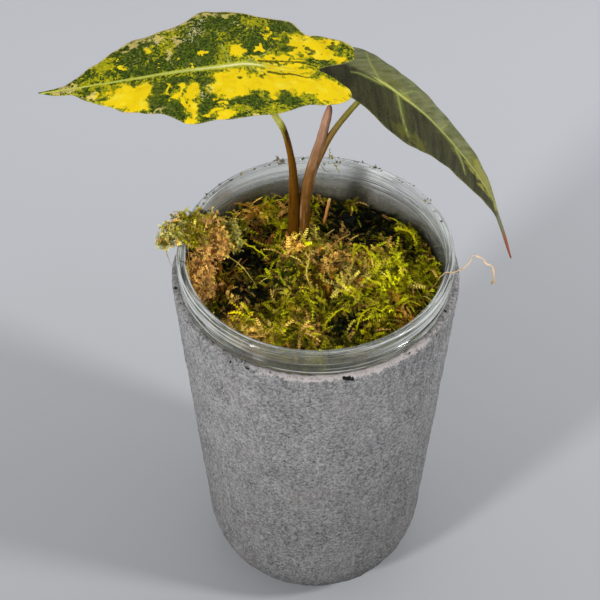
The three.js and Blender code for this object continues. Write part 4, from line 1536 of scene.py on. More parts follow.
@dataclass
class MossClump:
    """A loose clump that lies on the moss or over the cup's rim, with fronds all round it."""

    node: str
    slot: str
    fronds: int
    seed: int
    patches: Sequence[TonePatch]
    everywhere: dict[Tone, float]
    largest: float
    about: Point
    stretch: Point
    shift: Point
    sink: float = 0.5
    cup: ClearCup = field(default_factory=ClearCup)

    def clear_of_rim(self, points: Array) -> Array:
        """Lifts points that would lie in the cup's rim onto it.

        Args:
            points: the points.

        Returns:
            The points, clear of the rim.
        """
        radius, height = np.hypot(points[:, 0], points[:, 1]), points[:, 2]
        over = (radius > self.cup.mouth_radius - 0.6) & (radius < self.cup.lip_radius + 0.6)
        raised = np.maximum(height, self.cup.rim + 0.15)
        return np.column_stack([points[:, :2], np.where(over & (height > 140), raised, height)])

    def settled(self) -> Form:
        """Reads the CAD node, merged, and settles its side beyond `about`.

        Returns:
            The form, with that side pressed together a little and shifted.
        """
        mesh = frame["nodes"][self.node].data
        points = np.array([vertex.co for vertex in mesh.vertices]) / MM
        _, kept, merged = np.unique(points.round(3), axis=0, return_index=True, return_inverse=True)
        merged = merged.ravel()
        faces = [tuple(int(merged[corner]) for corner in face.vertices) for face in mesh.polygons]
        points, about = points[kept], np.array(self.about)
        beyond = smooth(points[:, 0], about[0] - 4, about[0] + 4)[:, None]
        pressed = about + (points - about) * np.array(self.stretch) + np.array(self.shift)
        points = points + (pressed - points) * beyond
        return Form(points, [face for face in faces if len(set(face)) == len(face)])

    def core(self, shape: Form) -> Mesh:
        """Makes the close middle of the clump: its form, sunk a little and made crumbly.

        Args:
            shape: the form.

        Returns:
            The mesh.
        """
        middle = shape.mesh(f"{self.node}_core")
        work = bmesh.new()
        work.from_mesh(middle)
        bmesh.ops.subdivide_edges(work, edges=work.edges, cuts=2, use_grid_fill=True)
        bmesh.ops.triangulate(work, faces=work.faces)
        work.normal_update()
        points = np.array([point.co for point in work.verts]) / MM
        outward = np.array([point.normal for point in work.verts])
        faces = [tuple(corner.index for corner in face.verts) for face in work.faces]
        work.free()
        bpy.data.meshes.remove(middle)
        crumbs = 0.3 * ripples(points, 1.1, self.seed + 5) + 0.3 * ripples(points, 2.6, self.seed + 6)
        lumps = 0.6 * ripples(points, 6, self.seed + 7)
        points = points + outward * (crumbs + lumps - self.sink)[:, None]
        tint, _ = moss_tones(points[:, :2], self.patches, self.everywhere, self.seed)
        uneven = np.random.default_rng(self.seed + 3).uniform(0.6, 1.3, (len(tint), 1))
        # painted shade: the core is painted dark so the gaps between its fronds look shaded, lighter
        # where its crumbs stand out
        depth = np.clip(0.5 + crumbs, 0, 1)
        values = {"tint": tint * uneven, "shade": 0.15 + 0.4 * depth, "tipward": 0.1 + 0.5 * depth}
        mesh = Form(points, faces, values).mesh(f"{self.node}_core")
        mesh.shade_flat()
        return mesh

    def build(self, scatter: FrondScatter, finish: Material) -> None:
        """Makes the clump's core and grows its fronds.

        Args:
            scatter: grows the fronds.
            finish: the moss.
        """
        shape = self.settled()
        set_in_place(self.core(shape), finish, [self.node])
        middles = face_centres(shape)
        tint, _ = moss_tones(middles[:, :2], self.patches, self.everywhere, self.seed + 1)
        corners = [shape.points[list(face[:3])] for face in shape.faces]
        area = sum(float(np.linalg.norm(np.cross(b - a, c - a))) / 2 for a, b, c in corners)
        uneven = np.random.default_rng(self.seed + 2).uniform(0.7, 1.6, (len(tint), 1))
        whole = np.ones(len(tint))
        grown = scatter.grow(
            shape, f"{self.node}_fronds", {"tint": tint * uneven, "cover": whole, "vigour": whole},
            {
                "Density": self.fronds / (area * MM * MM), "Seed": self.seed, "Smallest": 0.4,
                "Largest": self.largest, "Least Lean": 0.35, "Most Lean": 1.3, "Finish": finish,
            },
        )
        move_points(grown, self.clear_of_rim)
        set_in_place(grown, finish)


@dataclass(frozen=True)
class MossRunner:
    """A long fine strand of moss that lies over the rest."""

    points: Sequence[Point]
    radius: float
    tone: Tone
    tufts: int = 0
    leaf: float = 1.3
    steps: int = 40

    def form(self) -> Form:
        """Lays the strand, with leaflets along it.

        Returns:
            The form.
        """
        line = Path(self.points).spread(self.steps)
        rng = np.random.default_rng(len(self.points) + int(abs(self.points[0][0]) * 10))
        line = line + 0.12 * np.stack([ripples(line, 3, 31 + axis) for axis in range(3)], 1)
        radii = self.radius * (1 - 0.6 * np.linspace(0, 1, self.steps) ** 2)
        bars = [tube(line, radii, 6)]
        for _ in range(self.tufts * 6):
            share = rng.random()
            at = line[int(share * (self.steps - 1))]
            way = rng.normal(size=3)
            way[2] = abs(way[2]) * 0.6
            tip = at + way / np.linalg.norm(way) * rng.uniform(0.6, 1.4) * self.leaf
            bars.append(tube(np.linspace(at, tip, 3), np.array([0.15, 0.18, 0.03]) * self.leaf, 3))
        form = Form.joined(bars)
        count = len(form.points)
        form.values = {
            "tipward": 0.6 + 0.4 * form.values["along"],
            "tint": np.tile(np.array(self.tone.value), (count, 1)), "shade": np.full(count, 0.35),
        }
        return form


RUNNERS = tuple(MossRunner(*row) for row in (
    (
        (
            (-4.5, 8, 143), (-3.3, 9.4, 145.6), (-1.2, 10.9, 146.4), (1.5, 10.9, 146.6), (5, 9.4, 145.6),
            (7, 7.5, 143),
        ),
        0.34, O, 12,
    ),
    (
        (
            (12, -0.5, 142.5), (12.5, 2.7, 146), (13.2, 7.5, 147.4), (16, 9.9, 147.6), (18.7, 6.5, 147),
            (19.7, 1.8, 145.6), (18.2, -2, 142.6),
        ),
        0.34, L, 12,
    ),
    (((-32.3, 8.5, 146), (-27.4, 3.7, 146.2), (-23.6, -0.6, 145.4), (-20.1, -5.7, 143)), 0.16, C),
    (((-26.2, 13.3, 148), (-23.4, 10.4, 147.6), (-19.9, 8.5, 146.6), (-16, 7.5, 143.5)), 0.3, L, 4),
    (
        (
            (2.4, -24, 141), (3.4, -22.3, 143.4), (6.1, -19.2, 144.6), (9.2, -17.3, 144.8),
            (11.5, -17.3, 143),
        ),
        0.3, L, 5,
    ),
    (
        (
            (13.4, -24, 141), (14.2, -22.3, 143.4), (16.2, -18.7, 145), (19.7, -16.9, 145),
            (23.4, -17.3, 142.6),
        ),
        0.3, L, 5,
    ),
    (((27.8, 21, 145), (32.9, 18.1, 146), (35.6, 14.2, 143.5)), 0.45, L, 8),
    (((-3, 7.5, 146.2), (-2.3, 3.2, 147), (-3.3, -1, 146), (-2, -5.3, 143)), 0.3, C, 3),
    (((-31.3, -30.5, 143), (-26.6, -29.5, 144.6), (-21.9, -29, 144), (-17, -27, 142)), 0.4, T, 4),
    (((-51.8, 8, 154.5), (-51, 2.7, 152), (-49.4, -1.6, 149.5)), 0.16, O),
    (((4.9, 45.4, 155.2), (5.1, 46, 156.6), (4.8, 46.6, 158.4)), 0.14, O, 2, 0.7, 8),
    (((6.4, 43.6, 155), (7.6, 42.2, 153.4), (8.6, 41.4, 151.4)), 0.14, O, 2, 0.7, 8),
    (((2, 42.8, 154.6), (3.6, 42, 152.4), (6, 42, 151.6)), 0.14, W, 2, 0.6, 8),
))
CRUMBS = (
    (D, -38.2, 27.1, 0.5), (D, -33.4, 32, 0.5), (D, -29.8, 34.4, 0.6), (D, -21.6, 39.8, 0.6),
    (D, -16.2, 42, 0.5), (W, -12.1, 43.4, 1.2), (W, -13.6, 44.6, 1.1), (W, -10.8, 43.9, 0.9),
    (W, -12.8, 42.6, 0.8), (D, -9.6, 43.2, 0.5), (D, -4.4, 45.2, 0.7), (O, 5.8, 44.9, 0.9),
    (D, 7.4, 43.6, 0.7), (W, 8.6, 43.2, 0.8), (W, 3.4, 42.6, 0.8), (O, 4.8, 43.2, 0.5),
    (D, 21.3, 40.8, 0.8), (D, 22.6, 40.4, 0.5), (O, 38, 24.4, 0.7), (W, 39.2, 23, 0.6),
    (D, 43.5, 14.1, 0.6), (D, -42, 18.4, 0.5), (O, 11.8, -43.6, 0.4), (D, -40.6, 21.6, 0.4),
    (D, -36, 28.6, 0.45), (D, 30.4, 33.6, 0.4), (D, 15, 43.2, 0.35), (O, -26, 37.2, 0.6),
)


def crumb_runners() -> list[MossRunner]:
    """Makes the small bits of moss and bark that lie on the cup's lip.

    Returns:
        Each bit as a very short strand.
    """
    rng = np.random.default_rng(41)
    bits = list(CRUMBS)
    for _ in range(34):
        turn, radius = rng.uniform(0.3, 2.9), rng.uniform(44.9, 47)
        bits.append((
            (D, D, W)[rng.integers(3)], radius * math.cos(turn), radius * math.sin(turn),
            rng.uniform(0.2, 0.45),
        ))
    runners = []
    for tone, x, y, size in bits:
        turn = rng.uniform(0, 2 * math.pi)
        end = (x + size * math.cos(turn), y + size * math.sin(turn), 155.15 + size * 0.5)
        runners.append(MossRunner(((x, y, 155.1), end), size * 0.36, tone, 1, size * 1.3, 4))
    return runners


# The plant


def line_away(places: Array, start: Sequence[float], end: Sequence[float]) -> Array:
    """How far places lie from the straight piece between two points.

    Args:
        places: the places.
        start: the piece's start.
        end: its end.

    Returns:
        The distance of each place.
    """
    way = np.subtract(end, start)
    part = np.clip((places - start) @ way / max(float(way @ way), 1e-9), 0, 1)
    return np.linalg.norm(places - start - part[:, None] * way, axis=1)


def line_field(lines: Sequence[Line], wide: float, along: Array, across: Array) -> Array:
    """How near each place on a blade lies to the nearest of some lines that taper to their ends.

    Args:
        lines: the lines' places along and across the blade.
        wide: their half width at their starts.
        along: the places along the blade.
        across: the places across it.

    Returns:
        1 on a line, 0 beside them all.
    """
    places = np.stack([along, across], 1)
    share = np.zeros(len(along))
    for line in lines:
        corners = Path(line, 8).points
        count = len(corners) - 1
        for number in range(count):
            away = line_away(places, corners[number], corners[number + 1])
            half = wide * (1 - 0.62 * (number + 0.5) / count)
            share = np.maximum(share, np.clip(1 - away / (2 * half), 0, 1))
    return share


def unit(vectors: Array) -> Array:
    """Vectors made one long."""
    return vectors / np.maximum(np.linalg.norm(vectors, axis=-1, keepdims=True), 1e-9)


@dataclass
class LeafBlade:
    """An arrow-shaped blade that bends along its rib, with a waved edge and raised ribs below."""

    name: str
    node: str
    slot: str
    rib: Sequence[Point]
    junction: int
    notch: float
    roll: float
    droop: tuple[float, float]
    curl: float
    wave: float
    left_wave: float
    left: Line
    right: Line
    veins: Sequence[Line]
    rib_width: float
    fields: dict[str, Sequence[Patch]]
    creases: Sequence[Line] = ()
    rib_shift: float = 0.0
    tail: float = 8
    faint: float = 0.5
    quilt: float = 0.25
    vein_gap: float = 9.5
    vein_slant: float = 0.55
    thickness: float = 0.55
    midrib: float = 1.1
    rows: int = 178
    half_columns: int = 38

    def __post_init__(self) -> None:
        """Draws the rib and the two outlines."""
        self.rib_path = Path(self.rib)
        self.behind = float(self.rib_path.reached[self.junction * self.rib_path.steps])
        self.outlines = {1: Path(self.left), -1: Path(self.right)}
        self.tip = self.left[0][0]

    def flat(self, row: Array, column: Array) -> tuple[Array, Array]:
        """The flat place of a row and column of the blade.

        Args:
            row: 0 at the tip to 1 at the notch.
            column: -1 at the right edge to 1 at the left edge.

        Returns:
            The places along and across.
        """
        rib = self.tip + (self.notch - self.tip) * (1 - (1 - row) ** 1.7)
        away = np.abs(column)
        edges = {sign: path.at(row * path.length) for sign, path in self.outlines.items()}
        edge = np.where((column < 0)[..., None], edges[-1], edges[1])
        sign = np.where(column < 0, -1, 1)
        return rib + (edge[..., 0] - rib) * away, sign * edge[..., 1] * away

    def vein_wave(self, along: Array, across: Array) -> Array:
        """A wave over the blade, with its crests on the faint side veins."""
        return np.cos((along - np.abs(across) * self.vein_slant) * 2 * np.pi / self.vein_gap)

    def middle(self, along: Array, across: Array) -> Array:
        """Points of the blade's middle surface.

        Args:
            along: the places along the blade.
            across: the places across it.

        Returns:
            The points.
        """
        path, turn = self.rib_path, math.radians(self.roll)
        reached = np.clip(along + self.behind, 0, path.length)
        ahead, back = (np.clip(reached + step, 0, path.length) for step in (0.4, -0.4))
        travel = unit(path.at(ahead) - path.at(back))
        level = unit(np.cross([0, 0, 1.0], travel))
        up = np.cross(travel, level)
        left = level * math.cos(turn) + up * math.sin(turn)
        face = up * math.cos(turn) - level * math.sin(turn)
        away, on_left = np.abs(across), across > 0
        droop = np.radians(np.where(on_left, *self.droop))
        phase = np.where(on_left, 0.6, 2.1)
        wave = np.where(on_left, self.left_wave, self.wave)
        ripple = wave * (away / 22) ** 2 * np.sin(along * 2 * np.pi / 15 + phase)
        quilt = self.quilt * self.vein_wave(along, across)
        lift = -away * np.sin(droop) - self.curl * away**2 + ripple + quilt * np.minimum(away / 5, 1)
        return path.at(reached) + left * (across * np.cos(droop))[..., None] + face * lift[..., None]

    def form(self) -> Form:
        """Makes the blade.

        Returns:
            The form, with its flat places, ribs, edges and colour fields.
        """
        half = np.linspace(0, 1, self.half_columns + 1) ** 1.15
        columns = np.concatenate([-half[:0:-1], half])
        row, column = np.meshgrid(np.linspace(0, 1, self.rows + 1), columns, indexing="ij")
        along, across = self.flat(row, column)
        step = 0.05
        slope_a = self.middle(along + step, across) - self.middle(along - step, across)
        slope_b = self.middle(along, across + step) - self.middle(along, across - step)
        normal = unit(np.cross(slope_a, slope_b))
        middle, away = self.middle(along, across), np.abs(across)
        vein = line_field(self.veins, 0.45, along.ravel(), across.ravel()).reshape(along.shape)
        faint = smooth(self.vein_wave(along, across), 0.965, 1) * smooth(away, 1.5, 4) * self.faint
        vein = np.maximum(vein, faint)
        ridge = np.exp(-((away / 0.75) ** 2)) * np.sin(np.pi * np.clip(row, 0, 1)) ** 0.5
        thin = self.thickness * (0.3 + 0.7 * (1 - np.abs(column) ** 6))
        top = middle + normal * (thin / 2 - 0.1 * vein - 0.1 * ridge)[..., None]
        low = middle - normal * (thin / 2 + 0.15 * vein + self.midrib * ridge)[..., None]
        points = np.concatenate([top.reshape(-1, 3), low.reshape(-1, 3)])
        values = self._values(column.ravel(), along.ravel(), across.ravel(), vein.ravel())
        return Form(points, self._faces(len(columns)), values)

    def _values(self, column: Array, along: Array, across: Array, vein: Array) -> dict[str, Array]:
        """The named values that the blade's finish reads, for both its faces.

        Args:
            column: the columns.
            along: the flat places along.
            across: the flat places across.
            vein: how near a side vein is.

        Returns:
            The values at each point.
        """
        away = np.abs(across)
        reach = away / np.maximum(np.abs(column), 1e-3)
        width = self.rib_width * (0.22 + 0.78 * np.clip((self.tip - along) / self.tip, 0, 1) ** 1.6)
        width = np.where(along < 0, width * np.clip(1 + along / self.tail, 0, 1), width)
        rib = np.clip(1 - np.abs(across - self.rib_shift) / (2 * np.maximum(width, 0.05)), 0, 1)
        flat = np.stack([along, across, np.zeros(len(along))], 1)
        values = {
            "leaf": flat, "vein": vein, "rib": rib * (along > -self.tail),
            "heart": smooth(np.abs(along), 26, 2),
            "edge": np.clip(1 - (reach - away) / 1.1, 0, 1) * smooth(reach, 0.8, 3.5),
            "crease": line_field(self.creases, 0.42, along, across),
            "glow": line_field(self.veins, 1.3, along, across),
        }
        drift_a = along + 0.95 * ripples(flat, 5.2, 71) + 0.5 * ripples(flat, 2.1, 72)
        drift_b = across + 0.8 * ripples(flat, 4.4, 73) + 0.5 * ripples(flat, 1.9, 74)
        for name, patches in self.fields.items():
            values[name] = patch_field(patches, drift_a, drift_b)
        both = {name: np.concatenate([value, value]) for name, value in values.items()}
        return {**both, "under": np.repeat([0.0, 1.0], len(along))}

    def _faces(self, columns: int) -> Faces:
        """The faces of the top, the underside and the edge.

        Args:
            columns: how many columns of points there are.

        Returns:
            The faces.
        """
        low, last, end = (self.rows + 1) * columns, columns - 1, self.rows * columns
        faces = []
        for i in range(self.rows):
            a, d = i * columns, (i + 1) * columns
            for j in range(last):
                faces.append((a + j, d + j, d + j + 1, a + j + 1))
                faces.append((low + a + j, low + a + j + 1, low + d + j + 1, low + d + j))
            faces.append((a, low + a, low + d, d))
            faces.append((a + last, d + last, low + d + last, low + a + last))
        for j in range(last):
            faces.append((j, j + 1, low + j + 1, low + j))
            faces.append((end + j, low + end + j, low + end + j + 1, end + j + 1))
        return faces

    def build(self, finish: Material) -> None:
        """Makes the blade and sets it in place of its CAD node.

        Args:
            finish: the blade's material.
        """
        mesh = self.form().mesh(self.name)
        tidy_mesh(mesh)
        set_in_place(mesh, finish, [self.node])


def tidy_mesh(mesh: Mesh) -> None:
    """Merges points that coincide, drops empty faces and turns the faces outwards.

    Args:
        mesh: the mesh.
    """
    shape = bmesh.new()
    shape.from_mesh(mesh)
    bmesh.ops.remove_doubles(shape, verts=shape.verts, dist=0.02 * MM)
    bmesh.ops.dissolve_degenerate(shape, dist=0.005 * MM, edges=shape.edges)
    bmesh.ops.recalc_face_normals(shape, faces=shape.faces)
    shape.to_mesh(mesh)
    shape.free()
    mesh.shade_smooth()


def between(shares: Sequence[float], values: Sequence[float]) -> Callable[[Array], Array]:
    """Makes a rule that reads values off between the shares that they belong to."""
    return lambda share: np.interp(share, shares, values)


@dataclass
class Stalk:
    """A stem, sheath or dry stub, as a round bar with fine ribs along it."""

    name: str
    node: str
    slot: str
    points: Sequence[Point]
    radius: Callable[[Array], Array]
    finish: FibreFinish
    steps: int = 90
    sides: int = 20
    ribs: float = 0.03
    kinks: float = 0.0
    end: float = 1.0
    scars: Sequence[tuple[Point, Point, float]] = ()

    def build(self) -> None:
        """Makes the stalk and sets it in place of its CAD node."""
        path = Path(self.points)
        share = np.linspace(0, self.end, self.steps)
        line = path.at(share * path.length)
        if self.kinks:
            shift = np.stack([ripples(line, 4.0, 51 + axis) for axis in range(3)], 1)
            line = line + self.kinks * shift
        rounded = np.sqrt(np.clip((share[-1] - share) / 0.02, 0.02, 1))
        form = tube(line, self.radius(share) * rounded, self.sides, self._ribbed)
        scar = np.zeros(len(form.points))
        for start, stop, reach in self.scars:
            away = line_away(form.points, start, stop)
            scar = np.maximum(scar, np.exp(-((away / reach) ** 2)))
        form.values["scar"] = scar
        set_in_place(form.mesh(self.name), self.finish.paint(), [self.node])

    def _ribbed(self, along: Array, turn: Array) -> Array:
        """What the radius is multiplied by, for fine ribs and a slight unevenness along."""
        waves = np.sin(7 * turn + 2 * along), np.sin(23 * along + turn), np.sin(57 * along)
        return 1 + self.ribs * waves[0] + self.ribs * waves[1] + self.ribs * 0.6 * waves[2]


VARIEGATED_LEAF = LeafBlade(
    name="variegated_leaf", node="blade_variegated", slot="variegated_leaf",
    rib=(
        (11.7, 11, 225.1), (0.4, 11, 227.7), (-11.2, 10.5, 229.6), (-22.6, 10, 231.6), (-33, 9.2, 230.8),
        (-44, 8.4, 229.8), (-56, 7.5, 228), (-72.5, 6.2, 225.6), (-89.6, 4.8, 223.3),
    ),
    junction=3, notch=-23, roll=-8, droop=(-3, -3), curl=0.003, wave=0.42, left_wave=0.12,
    left=(
        (67.4, 0), (64, 1.6), (60, 2.7), (56, 3.4), (52, 6.8), (47, 9.3), (40.5, 13.2), (35, 15),
        (30, 16.2), (25, 18.4), (20.8, 21.9), (16, 22.3), (10, 21.7), (5, 22.2), (2, 22.3), (-3, 21),
        (-9, 20.1), (-16, 16.7), (-20, 15.2), (-26, 14.1), (-31, 12.7), (-34.4, 9.6), (-34.2, 7),
        (-31.5, 4.2), (-27, 1.8), (-23, 0),
    ),
    right=(
        (67.4, 0), (62, 0.6), (58.6, 1.2), (54, 4.2), (49, 7.6), (45, 10), (40, 13.4), (35, 15.8),
        (29, 16.3), (25, 18), (20, 19.4), (15.4, 22.4), (11, 23.5), (6, 23.3), (2, 21.4), (-3, 20.2),
        (-9, 20), (-12.5, 20), (-15.4, 18.8), (-17.8, 15.8), (-20.2, 13.8), (-24, 14.6), (-28, 13.9),
        (-32, 13), (-35, 11.6), (-36.2, 9.4), (-35.4, 7), (-33, 5.2), (-30, 3.8), (-27, 2.7), (-25, 1.8),
        (-23, 0),
    ),
    rib_width=1.0, rib_shift=0.6,
    veins=(
        ((5.4, -0.4), (6, -4), (7, -8), (8.3, -13.5)),
        ((0, -0.8), (-3, -2.2), (-6, -4), (-7.5, -6.5), (-9, -9.8)), ((-1, 2), (-3.5, 3), (-6.5, 3.3)),
        ((-1, -0.4), (-8, -0.2), (-15, 0.6)), ((0, 0.6), (-8, 1.6), (-16, 1.8)),
    ),
    creases=(
        ((-4, -1), (-8, -1.3), (-12, -1.9), (-16, -2.1), (-20, -1.6), (-23, -1.2)),
        ((-7, 3.5), (-12, 3.4), (-14, 3.1), (-16, 3.5), (-19, 4), (-22.5, 3.3)),
    ),
    fields={
        "yellow": (
            (38.6, 7.3, 7.4, 4.6), (36, 12, 3.6, 2.6), (42.5, 8.5, 4.6, 3), (33.2, 7.5, 1.8, 4),
            (5.2, 7, 6.8, 5.4), (4, 11.4, 6.6, 2.4), (-7, 7.6, 9.2, 4.3), (-17.9, 6.9, 8.5, 3.9),
            (-27.5, 8.3, 6.6, 4.6), (-26, 12, 3, 1.5), (-15.5, 1.1, 7.4, 1.9), (-8.6, 13, 1.6, 1.6),
            (17.4, 9.2, 2.5, 3.2), (17.7, 16.5, 1.2, 4.2), (20.4, 14, 0.8, 4.2), (23.6, 10.6, 2.2, 1.5),
            (25.8, 7, 0.8, 2.4), (22.2, 8, 1, 1.6), (7.5, 20.3, 3.2, 0.9), (10.5, 18, 1.8, 1.2),
            (13.5, 20, 1.6, 0.8), (18.3, 21.5, 2.2, 1.1), (2.6, -5.2, 1.8, 2.6), (-20.2, -9.2, 7.6, 4),
            (-27.3, -5.9, 5.2, 2), (-26.8, -12.6, 3, 1.1), (-14.6, -12.6, 2, 1.8),
            (-15.4, -5.6, 2.4, 0.8), (-9, 1, 6, 1.5), (-12, -2.9, 7, 1.1), (-4, -1.6, 3, 0.8),
            (-9.4, -11, 1.3, 0.8), (30.7, -9.8, 0.8, 1.8), (43.6, -4.6, 1.2, 0.6), (40.4, -4.6, 0.8, 0.6),
            (49, 4.9, 2, 0.6), (9.4, 4.4, 1.4, 1.6),
        ),
        "spot": (
            (-4.6, -6.2, 0.9, 0.9), (14.6, -5.8, 1.1, 0.9), (-6.6, -12.4, 1.1, 1),
            (-5.6, -10.4, 0.5, 0.6), (21.6, -3.9, 0.5, 0.5), (13.4, -11.8, 0.8, 0.4),
            (26.2, 4.9, 0.7, 0.6), (41, -8.2, 0.6, 0.7), (18, -1, 0.9, 0.4), (-7, -14.6, 0.5, 0.8),
            (28, -3.6, 0.5, 0.5), (1.8, 12.6, 0.9, 0.6), (9.2, 15.8, 0.8, 0.7), (10.8, 13.9, 0.6, 0.8),
            (5.4, -9.4, 0.4, 0.9), (6.6, 19.2, 1.6, 0.5),
        ),
        "tan": (
            (12, -22.7, 6, 0.8), (18.6, -20.2, 3.4, 0.9), (23.6, -18.2, 3, 0.8), (28, -14.2, 3, 2),
            (33.6, -15, 3.4, 1), (40, -12.8, 3, 0.6), (57.6, 0.4, 3.4, 1.5), (62, 1.2, 2.6, 1),
            (50, 5.2, 1.4, 1.1), (21, -12.4, 1.6, 2), (24.6, -7, 1, 3), (35.6, -13.2, 2.4, 1.2),
            (-2, 20.6, 4, 0.5), (30, 15.8, 3, 0.5), (54, 4.4, 1.6, 0.8), (4, -22, 2, 0.5),
        ),
        "dark": (
            (2, 15.7, 7.5, 1.1), (-4.5, 14.3, 2, 0.8), (-13.6, 13.6, 3.4, 1.9), (-3.4, 17.8, 2.4, 0.8),
            (2, 20.7, 2.6, 0.5), (14.6, 17.7, 1.6, 1.7), (12, 13.2, 1.4, 2.2), (13.4, 7.6, 1.5, 1.8),
            (13.6, 4.8, 2.6, 0.9), (24.4, 17.3, 3.8, 1.5), (23.2, 14.4, 2, 1.7), (28.4, 11, 1.9, 2.4),
            (29, 14, 2, 1.8), (31.6, 10, 1.9, 1.7), (22.4, 4.4, 3.6, 1.5), (28.8, 6, 2.6, 2),
            (36.4, 3.3, 1.8, 1.5), (47.8, 6.8, 1.2, 0.6), (48.2, 3, 1.2, 1), (52.2, 2, 1, 1.4),
            (-4.7, 5.4, 1.9, 0.9), (1.8, 5.6, 0.5, 1.5), (-30.6, -9.8, 1.4, 1.9),
            (-27.2, -11.4, 1.2, 0.8), (-28.4, -9.8, 1.8, 0.6), (-21.5, -7, 1.3, 0.8),
            (-19, -8.6, 0.9, 0.9), (-22.8, -3.4, 3.4, 0.6), (-12, -10.2, 2.8, 1.1), (-13.4, -7.4, 2.6, 1),
            (-3, -6, 3.2, 3.6), (14.3, -7.1, 6.4, 4.4), (-14, -16.6, 5.6, 2), (8, -17.4, 4.4, 2.2),
            (21, -4, 5.9, 2.4), (31.6, -2.6, 3.6, 1.8), (35.6, -9.6, 2.8, 3.2), (38, -2.4, 2.6, 1.6),
            (25.4, 2.2, 2, 0.5), (-9, -15.4, 2.6, 1),
        ),
        "lime": (
            (-20, 12.6, 3.6, 1.8), (3.6, 18.5, 4, 1.3), (-8, 18, 3.4, 1.5), (-1, 20.4, 3, 0.7),
            (8, -6, 2.4, 4), (4.4, -7.4, 2, 2), (45.6, -6.4, 3.6, 2.6), (50.7, 1.2, 5.9, 2.2),
            (24.4, -9, 2.2, 3.4), (24, -14, 3.4, 2.2), (-4.4, -16.4, 4.6, 2), (22, 12.2, 2, 1.8),
            (22, 2, 6, 0.7), (-30.8, -9.7, 3.6, 3), (-20, 1, 3, 2.6), (-6, 1.4, 6, 1.6), (-26, 3.6, 3, 1),
            (-10, -4.4, 4.6, 2.2), (48, 8, 2.6, 1.2), (34, 5, 2.4, 1.8), (-12.6, 17, 2.2, 1.2),
        ),
        "cream": (
            (16, -15, 2, 2.6), (13.8, -18.6, 1.7, 1.5), (18.6, -12.4, 2, 1.3), (14.2, 11.2, 1.2, 2.2),
            (11.4, 9.6, 0.7, 1.2), (28.8, -12.6, 2.2, 1.5), (35, -7, 0.9, 0.9), (3, -17.2, 1.8, 1.1),
            (-0.6, -14.6, 1.4, 0.6), (56.6, 1.8, 1.4, 1),
        ),
    },
)
GREEN_LEAF = LeafBlade(
    name="green_leaf", node="blade_green", slot="green_leaf",
    rib=(
        (0.5, 29, 217.6), (11, 23.6, 218), (21.7, 18, 215.3), (28, 15.2, 211.8), (35.3, 12.5, 206.6),
        (42, 9.8, 200), (48.1, 7, 193.2), (52.8, 4.2, 187.6), (58.2, 1.5, 179), (63.1, -1.2, 166),
        (66.2, -4, 155.5),
    ),
    junction=2, notch=-20, roll=-10, droop=(12, 0), curl=0.002, wave=0.1, left_wave=0.1, quilt=0.1,
    left=(
        (80, 0), (72, 0.6), (63, 1.3), (59, 2.9), (55, 5.6), (50, 8.7), (46, 9.5), (42.5, 9.2), (39, 10),
        (35, 11.5), (30, 13.4), (25, 14.3), (21, 15.4), (17.5, 16.4), (14.5, 17.8), (11.5, 18.3),
        (7.5, 17.3), (3.5, 16.4), (-1, 16.2), (-6, 16.9), (-11, 17.9), (-18, 18.6), (-25, 16), (-30, 10),
        (-29, 4.6), (-24, 1.6), (-20, 0),
    ),
    right=(
        (80, 0), (72, 0.8), (62, 1.6), (56.5, 3.3), (50, 5.6), (45, 7), (41, 8), (37, 8.9), (30, 11.5),
        (24, 13.9), (19.5, 16.4), (15.5, 18.2), (12, 18.7), (8, 17.9), (3, 16), (-2, 14.6), (-8, 13.6),
        (-16, 12.8), (-24, 11.2), (-30, 8), (-29, 4.8), (-24, 1.7), (-20, 0),
    ),
    rib_width=0.95, rib_shift=0.6, tail=5, faint=0.12,
    veins=(
        ((-0.8, -0.6), (-5, -1.1), (-8.6, -1.7), (-10.6, -2.8)),
        ((-0.5, 0.5), (-3.5, 3.2), (-7, 7.2), (-10, 11.2), (-13.5, 16.5)),
        ((6, -0.6), (8, -4), (10, -8), (12, -11.5), (14.5, -15.2)),
        ((6.8, 0.6), (8.3, 4), (10, 8), (12, 11.5), (14.8, 13.8)), ((25.2, 1.6), (26, 4.4), (27.4, 8.6)),
        ((33, -0.4), (37, -2), (41, -4.8)),
    ),
    fields={
        "yellow": ((1.6, 5, 4, 2.7), (12.5, -14.6, 4, 2.6), (18.4, -13.6, 3, 2.2), (29, -0.8, 6, 1.2)),
        "golden": (
            (44.5, 4.4, 5, 3.4), (51, 3.6, 5, 2.6), (57.5, 1.4, 4, 1.8), (0.3, 0.3, 1.6, 1.2),
            (47, -0.4, 8, 0.8), (8.6, 2, 1.4, 2.4),
        ),
    },
)
BROWN, STEM_BROWN = linear(92, 56, 2), linear(124, 78, 6)
STEM_GREEN, STEM_YELLOW = linear(146, 144, 44), linear(186, 182, 92)
